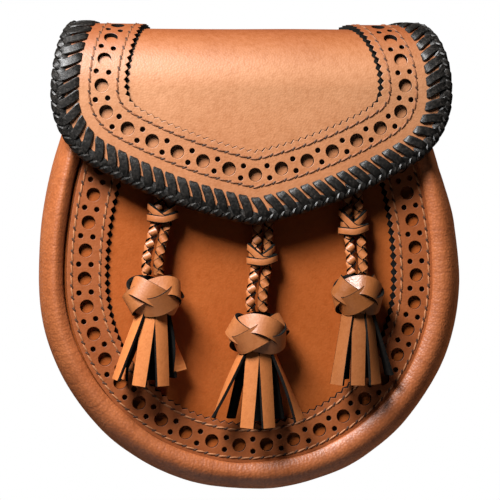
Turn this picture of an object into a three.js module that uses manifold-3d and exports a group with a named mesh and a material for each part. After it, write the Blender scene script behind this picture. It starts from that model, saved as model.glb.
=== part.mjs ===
// A leather sporran pouch: a stiff front and back joined by a soft gusset, a flap that comes over
// the top from the back, pierced borders with pinked inner edges, black lacing round the flap,
// and three plaited tassels that hang in front. Millimetres, +Z up, the front faces -Y.
// The origin is the middle of the belt tunnel at the back, where the pouch hangs.
import * as THREE from "three";
import { mergeVertices } from "three/addons/utils/BufferGeometryUtils.js";
import Module from "manifold-3d";

const wasm = await Module();
wasm.setup();

const GAP = 0.3; // between pieces that lie on each other
const DEGREE = Math.PI / 180;

// Leather
const PANEL_THICK = 2.2;
const BORDER_THICK = 1.6;
const GUSSET_THICK = 1.6;
const FLAP_THICK = 2.2;
const LOOP_THICK = 2;

// Pouch, seen from the front
const POUCH_RADIUS = 91; // lower half is half a disc, measured outside the gusset
const POUCH_CENTRE_Z = -43.6;
const SIDE_ARC_RADIUS = 188; // each side draws in along this arc above the half disc
const SIDE_ARC_RISE = 56;
const MOUTH_Z = 40;
const POUCH_STEPS = 23; // along the gusset
const PANEL_STEPS = 30; // along the edge of a panel

// Pouch, front to back
const BELT_TUNNEL = 5; // depth of the belt tunnel
const BACK_Y = -BELT_TUNNEL / 2; // outer face of the back panel
const POUCH_DEPTH = 36; // outer face to outer face of the two panels
const FRONT_Y = BACK_Y - POUCH_DEPTH; // outer face of the front panel
const BORDER_BACK_Y = FRONT_Y - GAP;

// Distances inwards from the outside of the gusset
const PANEL_INSET = 11;
const FRONT_HOLE_INSET = 19.6;
const FRONT_TOOTH_ROOT = 29;
const FRONT_TOOTH_TIP = 31.2;
const FRONT_TOOTH_PITCH = 3.8;
const BORDER_TOP_Z = 10; // the front border ends under the flap

// Holes of the pierced borders
const EYELET_RADIUS = 2.85;
const PINHOLE_RADIUS = 1.1;
const PINHOLE_SPREAD = 2.6; // from the middle line of the border to each pinhole
const FRONT_HOLE_PITCH = 11.9;
const FLAP_HOLE_PITCH = 11.45;
const EYELET_SIDES = 8;
const PINHOLE_SIDES = 5;
const FRONT_EYELETS = 26;
const FRONT_PAIRS = 17;
const FLAP_EYELETS = 21;
const FLAP_PAIRS = 14;

// Flap, seen as a flat pattern: x across, v up, with v = 0 where the front leaves the arch
const FLAP_HALF_WIDTH = 85; // outside the lacing
const FLAP_TIP_V = -56.4;
const CORNER_RADIUS = 34;
const CORNER_V = -2;
const LOWER_ARC_RADIUS = 210;
const SIDE_TAPER_RADIUS = 95; // the sides draw in over the arch
const SIDE_TAPER_ANGLE = 18 * DEGREE;
const FLAP_TAIL = 13; // sewn length down the back

// Flap, seen from the side
const FLAP_FRONT_TILT = 2.7 * DEGREE; // the point of the flap leans in to the pouch
const FLAP_TOP_Z = 63.6;
const FLAP_BACK_Y = BACK_Y + GAP + FLAP_THICK;
const ARCH_RADIUS = 26; // outer face of the flap over the top
const ARCH_Y = FLAP_BACK_Y - ARCH_RADIUS;
const ARCH_Z = FLAP_TOP_Z - ARCH_RADIUS;
const ARCH_LENGTH = ARCH_RADIUS * (Math.PI + FLAP_FRONT_TILT);
const FLAP_END_V = ARCH_LENGTH + FLAP_TAIL;
const PINKED_V = 31; // the pinking runs this far up the arch, and the rest of the edge is plain
const ARCH_STEP = 6; // between rows of the plain leather
const FLAP_FRONT_STEPS = 36; // round the front edge

// Distances inwards from the outside of the lacing
const BRAID_WIDTH = 4.8;
const FLAP_EDGE_INSET = BRAID_WIDTH + GAP;
const FLAP_HOLE_INSET = 20.5;
const FLAP_TOOTH_ROOT = 30;
const FLAP_TOOTH_TIP = 32.2;
const FLAP_TOOTH_PITCH = 3.4;

// Lacing
const LACE_WIDTH = 3.6;
const LACE_THICK = 1;
const LACE_PITCH = 5.4; // between slits
const LACES = 53; // from just past the top on one side to the same place on the other
const LACE_LEAN = 3; // how far the edge end of each lace runs ahead of its slit
const LACE_SLIT_INSET = 10.8;
const BRAID_TOP = 3.5; // above and below the flap's outer face
const BRAID_BOTTOM = -2.2;
const BRAID_BEVEL = 1.2;

// Belt loop
const LOOP_WIDTH = 50;
const LOOP_HALF_HEIGHT = 22;
const LOOP_TUNNEL_HALF = 13;

// Tassels
const CORD_RADIUS = 2.4;
const CORD_SPREAD = 2.55; // each of the two strands lies this far off the middle
const CORD_Y = -43.9;
const CORD_SIDES = 8;
const CORD_STEPS = 5;
const CORD_HOLE_RADIUS = 6.8;
const STOP_RADIUS = 8.8; // plain stop behind the front panel that the cord hangs from
const STOP_THICK = 2;
const KNOT_WIDTH = 13.4;
const KNOT_HEIGHT = 8.4;
const KNOT_DEPTH = 7;
const HEAD_Y = -48.6;
const HEAD_DEPTH_SHARE = 0.74; // the head is flatter front to back than it is wide
const HEAD_SIDES = 12;
const WEAVE_RELIEF = 0.7; // every other point of the head stands out, every other one in
const HEAD_PROFILE = [
  { radius: 5.6, height: 9.4 },
  { radius: 9.4, height: 7 },
  { radius: 11.5, height: 2.6 },
  { radius: 11.7, height: -2.2 },
  { radius: 9.6, height: -6.6 },
  { radius: 6.4, height: -9.4 },
];
const STRIP_WIDTH = 6;
const STRIP_THICK = 1.3;
const NECK_RADIUS = 6.4;
const NECK_TOP = -6; // below the middle of the head, where a strip leaves it
const TASSELS = [
  { name: "left", headX: -43, headZ: -49.8, knotX: -38.5, knotZ: -15.6, holeX: -37, holeZ: 6 },
  { name: "middle", headX: 1.1, headZ: -66.2, knotX: 3.8, knotZ: -33.6, holeX: 4.2, holeZ: -3 },
  { name: "right", headX: 44.2, headZ: -50.4, knotX: 43.3, knotZ: -20.2, holeX: 42.6, holeZ: 4 },
];
// around: place on the neck, degrees from the front towards +X; footX, footY: the free end, from
// the axis of the head; drop: from the middle of the head down to the free end; turn: twist there.
const STRIPS = {
  left: [
    { around: -62, footX: -16.2, footY: -3.6, drop: 35, turn: -8 },
    { around: -20, footX: -6.7, footY: -5.6, drop: 37.5, turn: -4 },
    { around: 26, footX: 3.2, footY: -5.4, drop: 37.7, turn: 4 },
    { around: 74, footX: 11.4, footY: -2, drop: 30, turn: 30 },
    { around: 120, footX: 8, footY: 3.6, drop: 35, turn: 0 },
    { around: 170, footX: 0.6, footY: 5, drop: 36, turn: 0 },
    { around: -130, footX: -12.3, footY: 3.6, drop: 35.7, turn: 0 },
  ],
  middle: [
    { around: -74, footX: -19.2, footY: -1.8, drop: 35.6, turn: -34 },
    { around: -24, footX: -5.3, footY: -5.6, drop: 39.7, turn: -3 },
    { around: 24, footX: 3.8, footY: -5.6, drop: 39.8, turn: 3 },
    { around: 72, footX: 17.4, footY: -2.6, drop: 37, turn: 28 },
    { around: 128, footX: 9.6, footY: 4, drop: 37, turn: 0 },
    { around: 178, footX: 0.4, footY: 5, drop: 38, turn: 0 },
    { around: -128, footX: -11, footY: 4, drop: 36.5, turn: 0 },
  ],
  right: [
    { around: -50, footX: -9.7, footY: -4, drop: 38, turn: -6 },
    { around: -2, footX: -1.1, footY: -5.6, drop: 38.2, turn: 0 },
    { around: 46, footX: 6.8, footY: -4, drop: 38, turn: 8 },
    { around: 90, footX: 15.6, footY: 0.6, drop: 36, turn: 20 },
    { around: 138, footX: 7, footY: 4.4, drop: 36, turn: 0 },
    { around: -142, footX: -5.4, footY: 4.6, drop: 36.5, turn: 0 },
  ],
};

// Finishes
const TAN = { color: 0xb8692f, roughness: 0.5, metalness: 0 };
const PALE_TAN = { color: 0xc98555, roughness: 0.48, metalness: 0 };
const BLACK = { color: 0x17140f, roughness: 0.42, metalness: 0 };

function solidOf(geometry) {
  const bare = geometry.clone();
  for (const name of Object.keys(bare.attributes)) {
    if (name !== "position") bare.deleteAttribute(name);
  }
  const merged = mergeVertices(bare, 1e-4);
  return new wasm.Manifold(
    new wasm.Mesh({
      numProp: 3,
      vertProperties: merged.attributes.position.array,
      triVerts: new Uint32Array(merged.index.array),
    }),
  );
}

function geometryOf(solid) {
  const mesh = solid.getMesh();
  const geometry = new THREE.BufferGeometry();
  geometry.setAttribute("position", new THREE.BufferAttribute(mesh.vertProperties, 3));
  geometry.setIndex(new THREE.BufferAttribute(mesh.triVerts, 1));
  geometry.computeVertexNormals();
  return geometry;
}

function joined(geometries) {
  return geometryOf(geometries.map(solidOf).reduce((whole, piece) => whole.add(piece)));
}

function withHoles(geometry, cutters) {
  return geometryOf(cutters.map(solidOf).reduce((whole, cutter) => whole.subtract(cutter), solidOf(geometry)));
}

// A closed body through a row of loops that all have the same number of points.
function loft(loops) {
  const count = loops[0].length;
  const positions = loops.flat().flatMap((p) => [p.x, p.y, p.z]);
  const index = [];
  for (let row = 0; row + 1 < loops.length; row++) {
    for (let i = 0; i < count; i++) {
      const a = row * count + i;
      const b = row * count + ((i + 1) % count);
      index.push(a, b, a + count, b, b + count, a + count);
    }
  }
  for (const [row, flip] of [[0, true], [loops.length - 1, false]]) {
    for (const [i, j, k] of THREE.ShapeUtils.triangulateShape(flatLoop(loops[row]), [])) {
      const corner = [i, j, k].map((n) => row * count + n);
      index.push(...(flip ? corner.reverse() : corner));
    }
  }
  const geometry = new THREE.BufferGeometry();
  geometry.setAttribute("position", new THREE.Float32BufferAttribute(positions, 3));
  geometry.setIndex(index);
  return outwards(geometry);
}

// A nearly flat loop laid out in its own plane, turning the way its points run.
function flatLoop(loop) {
  const normal = new THREE.Vector3();
  loop.forEach((p, i) => normal.add(new THREE.Vector3().crossVectors(p, loop[(i + 1) % loop.length])));
  normal.normalize();
  const across = new THREE.Vector3().subVectors(loop[1], loop[0]);
  across.addScaledVector(normal, -across.dot(normal)).normalize();
  const up = new THREE.Vector3().crossVectors(normal, across);
  return loop.map((p) => new THREE.Vector2(p.dot(across), p.dot(up)));
}

// Faces turned to the outside, for a mesh whose faces already agree with each other.
function outwards(geometry) {
  const p = geometry.attributes.position;
  const index = geometry.index.array;
  const [a, b, c] = [new THREE.Vector3(), new THREE.Vector3(), new THREE.Vector3()];
  let volume = 0;
  for (let i = 0; i < index.length; i += 3) {
    a.fromBufferAttribute(p, index[i]);
    b.fromBufferAttribute(p, index[i + 1]);
    c.fromBufferAttribute(p, index[i + 2]);
    volume += a.dot(b.cross(c));
  }
  if (volume < 0) {
    for (let i = 0; i < index.length; i += 3) {
      [index[i + 1], index[i + 2]] = [index[i + 2], index[i + 1]];
    }
  }
  return geometry;
}

function piece(name, geometry, finish) {
  const mesh = new THREE.Mesh(geometry, new THREE.MeshStandardMaterial(finish));
  mesh.name = name;
  return mesh;
}

// A flat outline drawn in x and z, extruded from backY towards the front.
function plate(shape, backY, thick) {
  const options = { depth: thick, bevelEnabled: false, curveSegments: 24 };
  return new THREE.ExtrudeGeometry(shape, options).rotateX(Math.PI / 2).translate(0, backY, 0);
}

function polygon(centre, radius, sides) {
  return Array.from({ length: sides }, (_, i) => {
    const angle = ((i + 0.5) / sides) * 2 * Math.PI;
    return new THREE.Vector2(centre.x + radius * Math.cos(angle), centre.y + radius * Math.sin(angle));
  });
}

// The side and bottom of the pouch, from the left end of the mouth round to the right end.
function pouchPath(inset, topZ) {
  const lean = Math.asin(SIDE_ARC_RISE / SIDE_ARC_RADIUS);
  const sideX = SIDE_ARC_RADIUS - POUCH_RADIUS;
  const radius = SIDE_ARC_RADIUS - inset;
  const shoulder = new THREE.Vector2(
    radius * Math.cos(lean) - sideX,
    POUCH_CENTRE_Z + radius * Math.sin(lean),
  );
  const topX = shoulder.x - (topZ - shoulder.y) * Math.tan(lean);
  return new THREE.Path()
    .moveTo(-topX, topZ)
    .lineTo(-shoulder.x, shoulder.y)
    .absarc(sideX, POUCH_CENTRE_Z, radius, Math.PI - lean, Math.PI)
    .absarc(0, POUCH_CENTRE_Z, POUCH_RADIUS - inset, Math.PI, 2 * Math.PI)
    .absarc(-sideX, POUCH_CENTRE_Z, radius, 0, lean)
    .lineTo(topX, topZ);
}

// Half width of the flap's pattern at a height above its corners.
function sideX(inset, v) {
  const taper = SIDE_TAPER_RADIUS - inset;
  const rise = Math.min(v - CORNER_V, taper * Math.sin(SIDE_TAPER_ANGLE));
  const onArc = Math.sqrt(taper ** 2 - rise ** 2) - SIDE_TAPER_RADIUS + FLAP_HALF_WIDTH;
  return onArc - (v - CORNER_V - rise) * Math.tan(SIDE_TAPER_ANGLE);
}

// The edge of the flap's flat pattern, from the left side at height endV round the point to the right.
function flapPath(inset, endV) {
  const centreX = FLAP_HALF_WIDTH - CORNER_RADIUS;
  const lower = lowerArcCentre();
  const join = Math.atan2(lower.y - CORNER_V, centreX + lower.x);
  const tip = Math.asin(lower.x / (LOWER_ARC_RADIUS - inset));
  const taperX = SIDE_TAPER_RADIUS - FLAP_HALF_WIDTH;
  const taper = SIDE_TAPER_RADIUS - inset;
  const isTapered = endV - CORNER_V > taper * Math.sin(SIDE_TAPER_ANGLE);
  const turn = isTapered ? SIDE_TAPER_ANGLE : Math.asin((endV - CORNER_V) / taper);
  const [corner, reach] = [CORNER_RADIUS - inset, LOWER_ARC_RADIUS - inset];
  const path = new THREE.Path();
  if (isTapered) {
    const shoulderV = CORNER_V + taper * Math.sin(turn);
    path.moveTo(-sideX(inset, endV), endV).lineTo(-sideX(inset, shoulderV), shoulderV);
  }
  path.absarc(taperX, CORNER_V, taper, Math.PI - turn, Math.PI);
  path.absarc(-centreX, CORNER_V, corner, Math.PI, Math.PI + join);
  path.absarc(lower.x, lower.y, reach, Math.PI + join, 1.5 * Math.PI - tip);
  path.absarc(-lower.x, lower.y, reach, 1.5 * Math.PI + tip, 2 * Math.PI - join);
  path.absarc(centreX, CORNER_V, corner, -join, 0);
  path.absarc(-taperX, CORNER_V, taper, 0, turn);
  if (isTapered) path.lineTo(sideX(inset, endV), endV);
  return path;
}

// Centre of the arc from the point to the left corner: it touches the corner's arc and ends at the point.
function lowerArcCentre() {
  const cornerX = -(FLAP_HALF_WIDTH - CORNER_RADIUS);
  let [low, high] = [0, LOWER_ARC_RADIUS / 2];
  const centreAt = (x) => new THREE.Vector2(x, FLAP_TIP_V + Math.sqrt(LOWER_ARC_RADIUS ** 2 - x ** 2));
  for (let i = 0; i < 60; i++) {
    const middle = (low + high) / 2;
    const reach = centreAt(middle).distanceTo(new THREE.Vector2(cornerX, CORNER_V));
    if (reach < LOWER_ARC_RADIUS - CORNER_RADIUS) low = middle;
    else high = middle;
  }
  return centreAt(low);
}

// A point of the flap's pattern in space; lift is the distance out from the flap's outer face.
function flapPoint(x, v, lift) {
  const reach = ARCH_RADIUS + lift;
  if (v > ARCH_LENGTH) return new THREE.Vector3(x, ARCH_Y + reach, ARCH_Z - (v - ARCH_LENGTH));
  const angle = Math.max(v, 0) / ARCH_RADIUS - FLAP_FRONT_TILT;
  const down = Math.max(-v, 0);
  return new THREE.Vector3(
    x,
    ARCH_Y - reach * Math.cos(angle) - down * Math.sin(angle),
    ARCH_Z + reach * Math.sin(angle) - down * Math.cos(angle),
  );
}

// Evenly spaced stations along a path, each with its place and the direction along the edge.
function stations(path, count) {
  return Array.from({ length: count + 1 }, (_, i) => ({
    at: path.getPointAt(i / count),
    along: path.getTangentAt(i / count),
  }));
}

function inwards({ at, along }, distance, ahead = 0) {
  return new THREE.Vector2(
    at.x - along.y * distance + along.x * ahead,
    at.y + along.x * distance + along.y * ahead,
  );
}

// Centres of the eyelets and pinholes of a border, from the middle of its path outwards.
function holeRow(path, pitch, eyelets, pairs) {
  const length = path.getLength();
  const row = (count) =>
    Array.from({ length: count }, (_, i) => {
      const u = 0.5 + ((i - (count - 1) / 2) * pitch) / length;
      return { at: path.getPointAt(u), along: path.getTangentAt(u) };
    });
  return [
    ...row(eyelets).map(({ at }) => ({ at, radius: EYELET_RADIUS, sides: EYELET_SIDES })),
    ...row(pairs).flatMap((station) =>
      [-PINHOLE_SPREAD, PINHOLE_SPREAD].map((across) => ({
        at: inwards(station, across),
        radius: PINHOLE_RADIUS,
        sides: PINHOLE_SIDES,
      })),
    ),
  ];
}

// A pinked edge: points that step between two parallel paths.
function pinkedEdge(rootPath, tipPath, pitch) {
  const teeth = Math.round(rootPath.getLength() / pitch);
  return Array.from({ length: 2 * teeth + 1 }, (_, i) => {
    const path = i % 2 ? tipPath : rootPath;
    return path.getPointAt(i / (2 * teeth));
  });
}

function panelShape() {
  return new THREE.Shape(pouchPath(PANEL_INSET, MOUTH_Z).getSpacedPoints(PANEL_STEPS));
}

function makeFrontPanel() {
  const shape = panelShape();
  for (const { holeX, holeZ } of TASSELS) {
    shape.holes.push(new THREE.Path(polygon(new THREE.Vector2(holeX, holeZ), CORD_HOLE_RADIUS, CORD_SIDES)));
  }
  return piece("front_panel", plate(shape, FRONT_Y + PANEL_THICK, PANEL_THICK), TAN);
}

function makeBackPanel() {
  return piece("back_panel", plate(panelShape(), BACK_Y, PANEL_THICK), TAN);
}

function makeFrontBorder() {
  const outer = pouchPath(PANEL_INSET, BORDER_TOP_Z).getSpacedPoints(PANEL_STEPS);
  const teeth = pinkedEdge(
    pouchPath(FRONT_TOOTH_ROOT, BORDER_TOP_Z),
    pouchPath(FRONT_TOOTH_TIP, BORDER_TOP_Z),
    FRONT_TOOTH_PITCH,
  );
  const shape = new THREE.Shape([...outer, ...teeth.reverse()]);
  const row = pouchPath(FRONT_HOLE_INSET, BORDER_TOP_Z);
  for (const { at, radius, sides } of holeRow(row, FRONT_HOLE_PITCH, FRONT_EYELETS, FRONT_PAIRS)) {
    shape.holes.push(new THREE.Path(polygon(at, radius, sides)));
  }
  return piece("front_border", plate(shape, BORDER_BACK_Y, BORDER_THICK), TAN);
}

// The gusset's outer line from the front seam round to the back seam. Inset is measured in from
// the widest line, and y from the front face of the front panel towards the back.
function makeGusset() {
  const seam = PANEL_THICK + GAP;
  const outerLine = [
    { inset: 15, y: seam },
    { inset: 10.4, y: seam },
    { inset: 9, y: -0.8 },
    { inset: 5.8, y: -2.4 },
    { inset: 1.9, y: 0.2 },
    { inset: 0, y: 6.5 },
    { inset: 0, y: 27 },
    { inset: 2, y: POUCH_DEPTH - 3.4 },
    { inset: 6.4, y: POUCH_DEPTH - 0.8 },
    { inset: 10.4, y: POUCH_DEPTH - seam },
    { inset: 15, y: POUCH_DEPTH - seam },
  ];
  const innerLine = outerLine.map((p, i) => {
    const before = outerLine[Math.max(i - 1, 0)];
    const after = outerLine[Math.min(i + 1, outerLine.length - 1)];
    const along = new THREE.Vector2(after.inset - before.inset, after.y - before.y).normalize();
    return { inset: p.inset + along.y * GUSSET_THICK, y: p.y - along.x * GUSSET_THICK };
  });
  const section = [...outerLine, ...innerLine.reverse()];
  const loops = stations(pouchPath(0, MOUTH_Z), POUCH_STEPS).map((s) =>
    section.map(({ inset, y }) => {
      const p = inwards(s, inset);
      return new THREE.Vector3(p.x, FRONT_Y + y, p.y);
    }),
  );
  return piece("gusset", loft(loops), TAN);
}

// Heights of the rows over the arch and down the tail, from the end of the tail to the front.
function archRows(step) {
  const count = Math.ceil(FLAP_END_V / step);
  return Array.from({ length: count }, (_, i) => FLAP_END_V * (1 - i / count));
}

function makeFlap() {
  const arch = archRows(ARCH_STEP).map((v) => ({ v, half: sideX(FLAP_EDGE_INSET, v) }));
  const front = flapPath(FLAP_EDGE_INSET, 0)
    .getSpacedPoints(FLAP_FRONT_STEPS)
    .slice(0, FLAP_FRONT_STEPS / 2)
    .map((p) => ({ v: p.y, half: -p.x }));
  const point = flapPath(FLAP_EDGE_INSET, 0).getPointAt(0.5);
  const loops = [...arch, ...front, { v: point.y, half: LACE_THICK }].map(({ v, half }) => [
    flapPoint(-half, v, 0),
    flapPoint(half, v, 0),
    flapPoint(half, v, -FLAP_THICK),
    flapPoint(-half, v, -FLAP_THICK),
  ]);
  return piece("flap", loft(loops), PALE_TAN);
}

// The flat front of the border is one pierced plate, and a strip runs on over the arch at each side.
function makeFlapBorder() {
  const [low, high] = [GAP, GAP + BORDER_THICK];
  const outer = flapPath(FLAP_EDGE_INSET, 0).getSpacedPoints(FLAP_FRONT_STEPS);
  const teeth = pinkedEdge(flapPath(FLAP_TOOTH_ROOT, 0), flapPath(FLAP_TOOTH_TIP, 0), FLAP_TOOTH_PITCH);
  const shape = new THREE.Shape([...outer, ...teeth.reverse()]);
  const row = flapPath(FLAP_HOLE_INSET, FLAP_END_V);
  const holes = holeRow(row, FLAP_HOLE_PITCH, FLAP_EYELETS, FLAP_PAIRS);
  const isFlat = ({ at, radius }) => at.y + radius < -GAP;
  for (const { at, radius, sides } of holes.filter(isFlat)) {
    shape.holes.push(new THREE.Path(polygon(at, radius, sides)));
  }
  const front = new THREE.ExtrudeGeometry(shape, { depth: BORDER_THICK, bevelEnabled: false });
  const positions = front.attributes.position;
  for (let i = 0; i < positions.count; i++) {
    const p = flapPoint(positions.getX(i), positions.getY(i), low + positions.getZ(i));
    positions.setXYZ(i, p.x, p.y, p.z);
  }
  const toothed = Math.round(PINKED_V / FLAP_TOOTH_PITCH);
  const rows = Array.from({ length: 2 * toothed + 1 }, (_, i) => ({
    v: (i / 2) * FLAP_TOOTH_PITCH,
    inset: i % 2 ? FLAP_TOOTH_TIP : FLAP_TOOTH_ROOT,
  }));
  const plain = archRows(ARCH_STEP)
    .filter((v) => v > (toothed + 1) * FLAP_TOOTH_PITCH)
    .map((v) => ({ v, inset: FLAP_TOOTH_ROOT }))
    .reverse();
  const strips = [-1, 1].map((side) =>
    loft(
      [...rows, ...plain].map(({ v, inset }) => {
        const [edge, inner] = [FLAP_EDGE_INSET, inset].map((distance) => side * sideX(distance, v));
        return [
          flapPoint(edge, v, low),
          flapPoint(edge, v, high),
          flapPoint(inner, v, high),
          flapPoint(inner, v, low),
        ];
      }),
    ),
  );
  const cutters = holes
    .filter((hole) => !isFlat(hole))
    .map(({ at, radius, sides }) =>
      loft([low - 1, high + 1].map((lift) => polygon(at, radius, sides).map((p) => flapPoint(p.x, p.y, lift)))),
    );
  return piece("flap_border", withHoles(joined([front, ...strips]), cutters), PALE_TAN);
}

// Black lace: slanting laces from the slits to the edge, and the braid that they make along it.
function makeFlapLacing() {
  const edge = flapPath(0, FLAP_END_V);
  const slits = flapPath(LACE_SLIT_INSET, FLAP_END_V);
  const station = (path, distance) => {
    const u = THREE.MathUtils.clamp(0.5 + distance / path.getLength(), 0, 1);
    return { at: path.getPointAt(u), along: path.getTangentAt(u) };
  };
  const section = [
    { inset: 0, lift: (BRAID_TOP + BRAID_BOTTOM) / 2 },
    { inset: BRAID_BEVEL, lift: BRAID_TOP },
    { inset: BRAID_WIDTH, lift: BRAID_TOP },
    { inset: BRAID_WIDTH, lift: BRAID_BOTTOM },
    { inset: BRAID_BEVEL, lift: BRAID_BOTTOM },
  ];
  const steps = Math.ceil(edge.getLength() / LACE_PITCH / 2);
  const braid = Array.from({ length: 2 * steps + 1 }, (_, i) => {
    const s = station(edge, (i - steps) * LACE_PITCH);
    return section.map(({ inset, lift }) => {
      const p = inwards(s, inset);
      return flapPoint(p.x, p.y, lift);
    });
  });
  const low = 2 * GAP + BORDER_THICK;
  const cuts = [
    { inset: 0, ahead: 0 },
    { inset: BRAID_WIDTH - GAP - LACE_SLIT_INSET, ahead: LACE_LEAN },
  ];
  const laces = Array.from({ length: LACES }, (_, i) => {
    const s = station(slits, (i - (LACES - 1) / 2) * LACE_PITCH);
    return loft(
      cuts.map(({ inset, ahead }) => {
        const [back, front] = [-0.5, 0.5].map((side) => inwards(s, inset, ahead + side * LACE_WIDTH));
        return [
          flapPoint(back.x, back.y, low),
          flapPoint(front.x, front.y, low),
          flapPoint(front.x, front.y, low + LACE_THICK),
          flapPoint(back.x, back.y, low + LACE_THICK),
        ];
      }),
    );
  });
  return piece("flap_lacing", joined([loft(braid), ...laces]), BLACK);
}

// One plain strap, sewn above and below the tunnel that takes a belt up to 25 mm wide.
function makeBeltLoop() {
  const seat = BACK_Y + GAP;
  const inner = BELT_TUNNEL / 2;
  const top = LOOP_HALF_HEIGHT;
  const tunnel = LOOP_TUNNEL_HALF;
  const wall = tunnel + LOOP_THICK;
  const upper = [
    [seat, top],
    [seat, tunnel],
    [inner, tunnel],
  ];
  const outer = [
    [inner + LOOP_THICK, wall],
    [seat + LOOP_THICK, wall],
    [seat + LOOP_THICK, top],
  ];
  const mirrored = (points) => points.map(([y, z]) => [y, -z]).reverse();
  const outline = [...upper, ...mirrored(upper), ...mirrored(outer), ...outer];
  const loops = [-LOOP_WIDTH / 2, LOOP_WIDTH / 2].map((x) =>
    outline.map(([y, z]) => new THREE.Vector3(x, y, z)),
  );
  return piece("belt_loop", loft(loops), TAN);
}

function tube(points, radius) {
  const section = new THREE.Shape(polygon(new THREE.Vector2(0, 0), radius, CORD_SIDES));
  const curve = new THREE.CatmullRomCurve3(points);
  return new THREE.ExtrudeGeometry(section, { steps: CORD_STEPS, bevelEnabled: false, extrudePath: curve });
}

// The doubled cord: in through the front panel at the top, a knot, and down to the tassel's head.
function makeTasselCord({ name, headX, headZ, knotX, knotZ, holeX, holeZ }) {
  const headTop = headZ + HEAD_PROFILE[0].height + GAP;
  const stopY = FRONT_Y + PANEL_THICK + GAP;
  const strands = [-CORD_SPREAD, CORD_SPREAD].map((side) =>
    tube(
      [
        new THREE.Vector3(holeX + side, stopY + STOP_THICK / 2, holeZ),
        new THREE.Vector3(holeX + side, FRONT_Y - GAP, holeZ),
        new THREE.Vector3(holeX + side, CORD_Y, holeZ - 5.5),
        new THREE.Vector3(knotX + side, CORD_Y - GAP, knotZ),
        new THREE.Vector3(headX + side, HEAD_Y + 1.6, headTop + 7),
        new THREE.Vector3(headX + side, HEAD_Y + 1.2, headTop + 3.5),
        new THREE.Vector3(headX + side, HEAD_Y + 1.2, headTop),
      ],
      CORD_RADIUS,
    ),
  );
  const stop = new THREE.CylinderGeometry(STOP_RADIUS, STOP_RADIUS, STOP_THICK, CORD_SIDES)
    .translate(holeX, stopY + STOP_THICK / 2, holeZ);
  const knot = new THREE.IcosahedronGeometry(0.5)
    .scale(KNOT_WIDTH, KNOT_DEPTH, KNOT_HEIGHT)
    .translate(knotX, CORD_Y - GAP, knotZ);
  return piece(`tassel_${name}_cord`, joined([...strands, stop, knot]), TAN);
}

function stripLoops(head, { around, footX, footY, drop, turn }) {
  const out = new THREE.Vector3(Math.sin(around * DEGREE), -Math.cos(around * DEGREE) * HEAD_DEPTH_SHARE, 0);
  const neck = out.clone().multiplyScalar(NECK_RADIUS - STRIP_THICK);
  const cuts = [
    { share: 0, z: NECK_TOP },
    { share: 0.4, z: -17 },
    { share: 1, z: -drop },
  ];
  return cuts.map(({ share, z }) => {
    const facing = (around + turn * share) * DEGREE;
    const across = new THREE.Vector3(Math.cos(facing), Math.sin(facing), 0);
    const normal = new THREE.Vector3(Math.sin(facing), -Math.cos(facing), 0);
    const middle = new THREE.Vector3(
      head.x + neck.x + (footX - neck.x) * share,
      head.y + neck.y + (footY - neck.y) * share,
      head.z + z,
    );
    return [[-1, 0], [1, 0], [1, 1], [-1, 1]].map(([side, skin]) =>
      middle
        .clone()
        .addScaledVector(across, (side * STRIP_WIDTH) / 2)
        .addScaledVector(normal, skin * STRIP_THICK),
    );
  });
}

// The woven head: rings of points that step in and out by turns, like straps that cross.
function makeHead(head) {
  const loops = HEAD_PROFILE.map(({ radius, height }, row) =>
    Array.from({ length: HEAD_SIDES }, (_, i) => {
      const angle = (i / HEAD_SIDES) * 2 * Math.PI;
      const reach = radius + ((row + i) % 2 ? WEAVE_RELIEF : -WEAVE_RELIEF);
      const across = new THREE.Vector3(
        reach * Math.cos(angle),
        reach * Math.sin(angle) * HEAD_DEPTH_SHARE,
        height,
      );
      return across.add(head);
    }),
  );
  return loft(loops);
}

function makeTassel({ name, headX, headZ }) {
  const head = new THREE.Vector3(headX, HEAD_Y, headZ);
  const strips = STRIPS[name].map((strip) => loft(stripLoops(head, strip)));
  return piece(`tassel_${name}`, joined([makeHead(head), ...strips]), TAN);
}

const sporran = new THREE.Group();
sporran.add(makeFrontPanel(), makeFrontBorder(), makeGusset(), makeBackPanel());
sporran.add(makeFlap(), makeFlapBorder(), makeFlapLacing(), makeBeltLoop());
for (const tassel of TASSELS) sporran.add(makeTasselCord(tassel), makeTassel(tassel));

export default sporran;
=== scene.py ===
"""The look of a leather sporran pouch: pierced tan leather, black edge lacing and plaited tassels.

Every piece is modelled in millimetres and scaled to metres as it is finished.
+Z is up and the front faces -Y.
"""

import math

import bmesh
import bpy
import numpy as np
from mathutils import Matrix, Quaternion, Vector, noise


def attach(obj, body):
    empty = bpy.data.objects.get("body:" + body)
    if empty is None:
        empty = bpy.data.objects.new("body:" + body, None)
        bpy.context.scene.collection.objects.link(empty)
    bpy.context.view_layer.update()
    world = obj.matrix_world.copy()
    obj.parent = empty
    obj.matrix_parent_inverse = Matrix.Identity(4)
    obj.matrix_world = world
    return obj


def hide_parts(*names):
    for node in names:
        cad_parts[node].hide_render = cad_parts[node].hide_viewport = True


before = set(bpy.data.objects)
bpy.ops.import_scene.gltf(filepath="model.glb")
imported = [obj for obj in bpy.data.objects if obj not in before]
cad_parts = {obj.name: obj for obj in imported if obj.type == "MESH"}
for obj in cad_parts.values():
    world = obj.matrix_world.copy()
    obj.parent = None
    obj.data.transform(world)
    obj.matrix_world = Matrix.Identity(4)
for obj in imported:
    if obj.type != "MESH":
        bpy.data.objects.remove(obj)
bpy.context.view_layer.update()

MM = 0.001
GAP = 0.3
GLUE_LINE = 0.05

# Leather thicknesses
PANEL_THICK = 2.2
BORDER_THICK = 2.0
GUSSET_THICK = 1.6
FLAP_THICK = 2.2
LOOP_THICK = 2.0
EDGE_ROUNDING = 0.22

# The pouch seen from the front
POUCH_RADIUS = 91.0
POUCH_CENTRE_Z = -43.6
SIDE_ARC_RADIUS = 188.0
SIDE_ARC_RISE = 56.0
MOUTH_Z = 40.0

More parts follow.
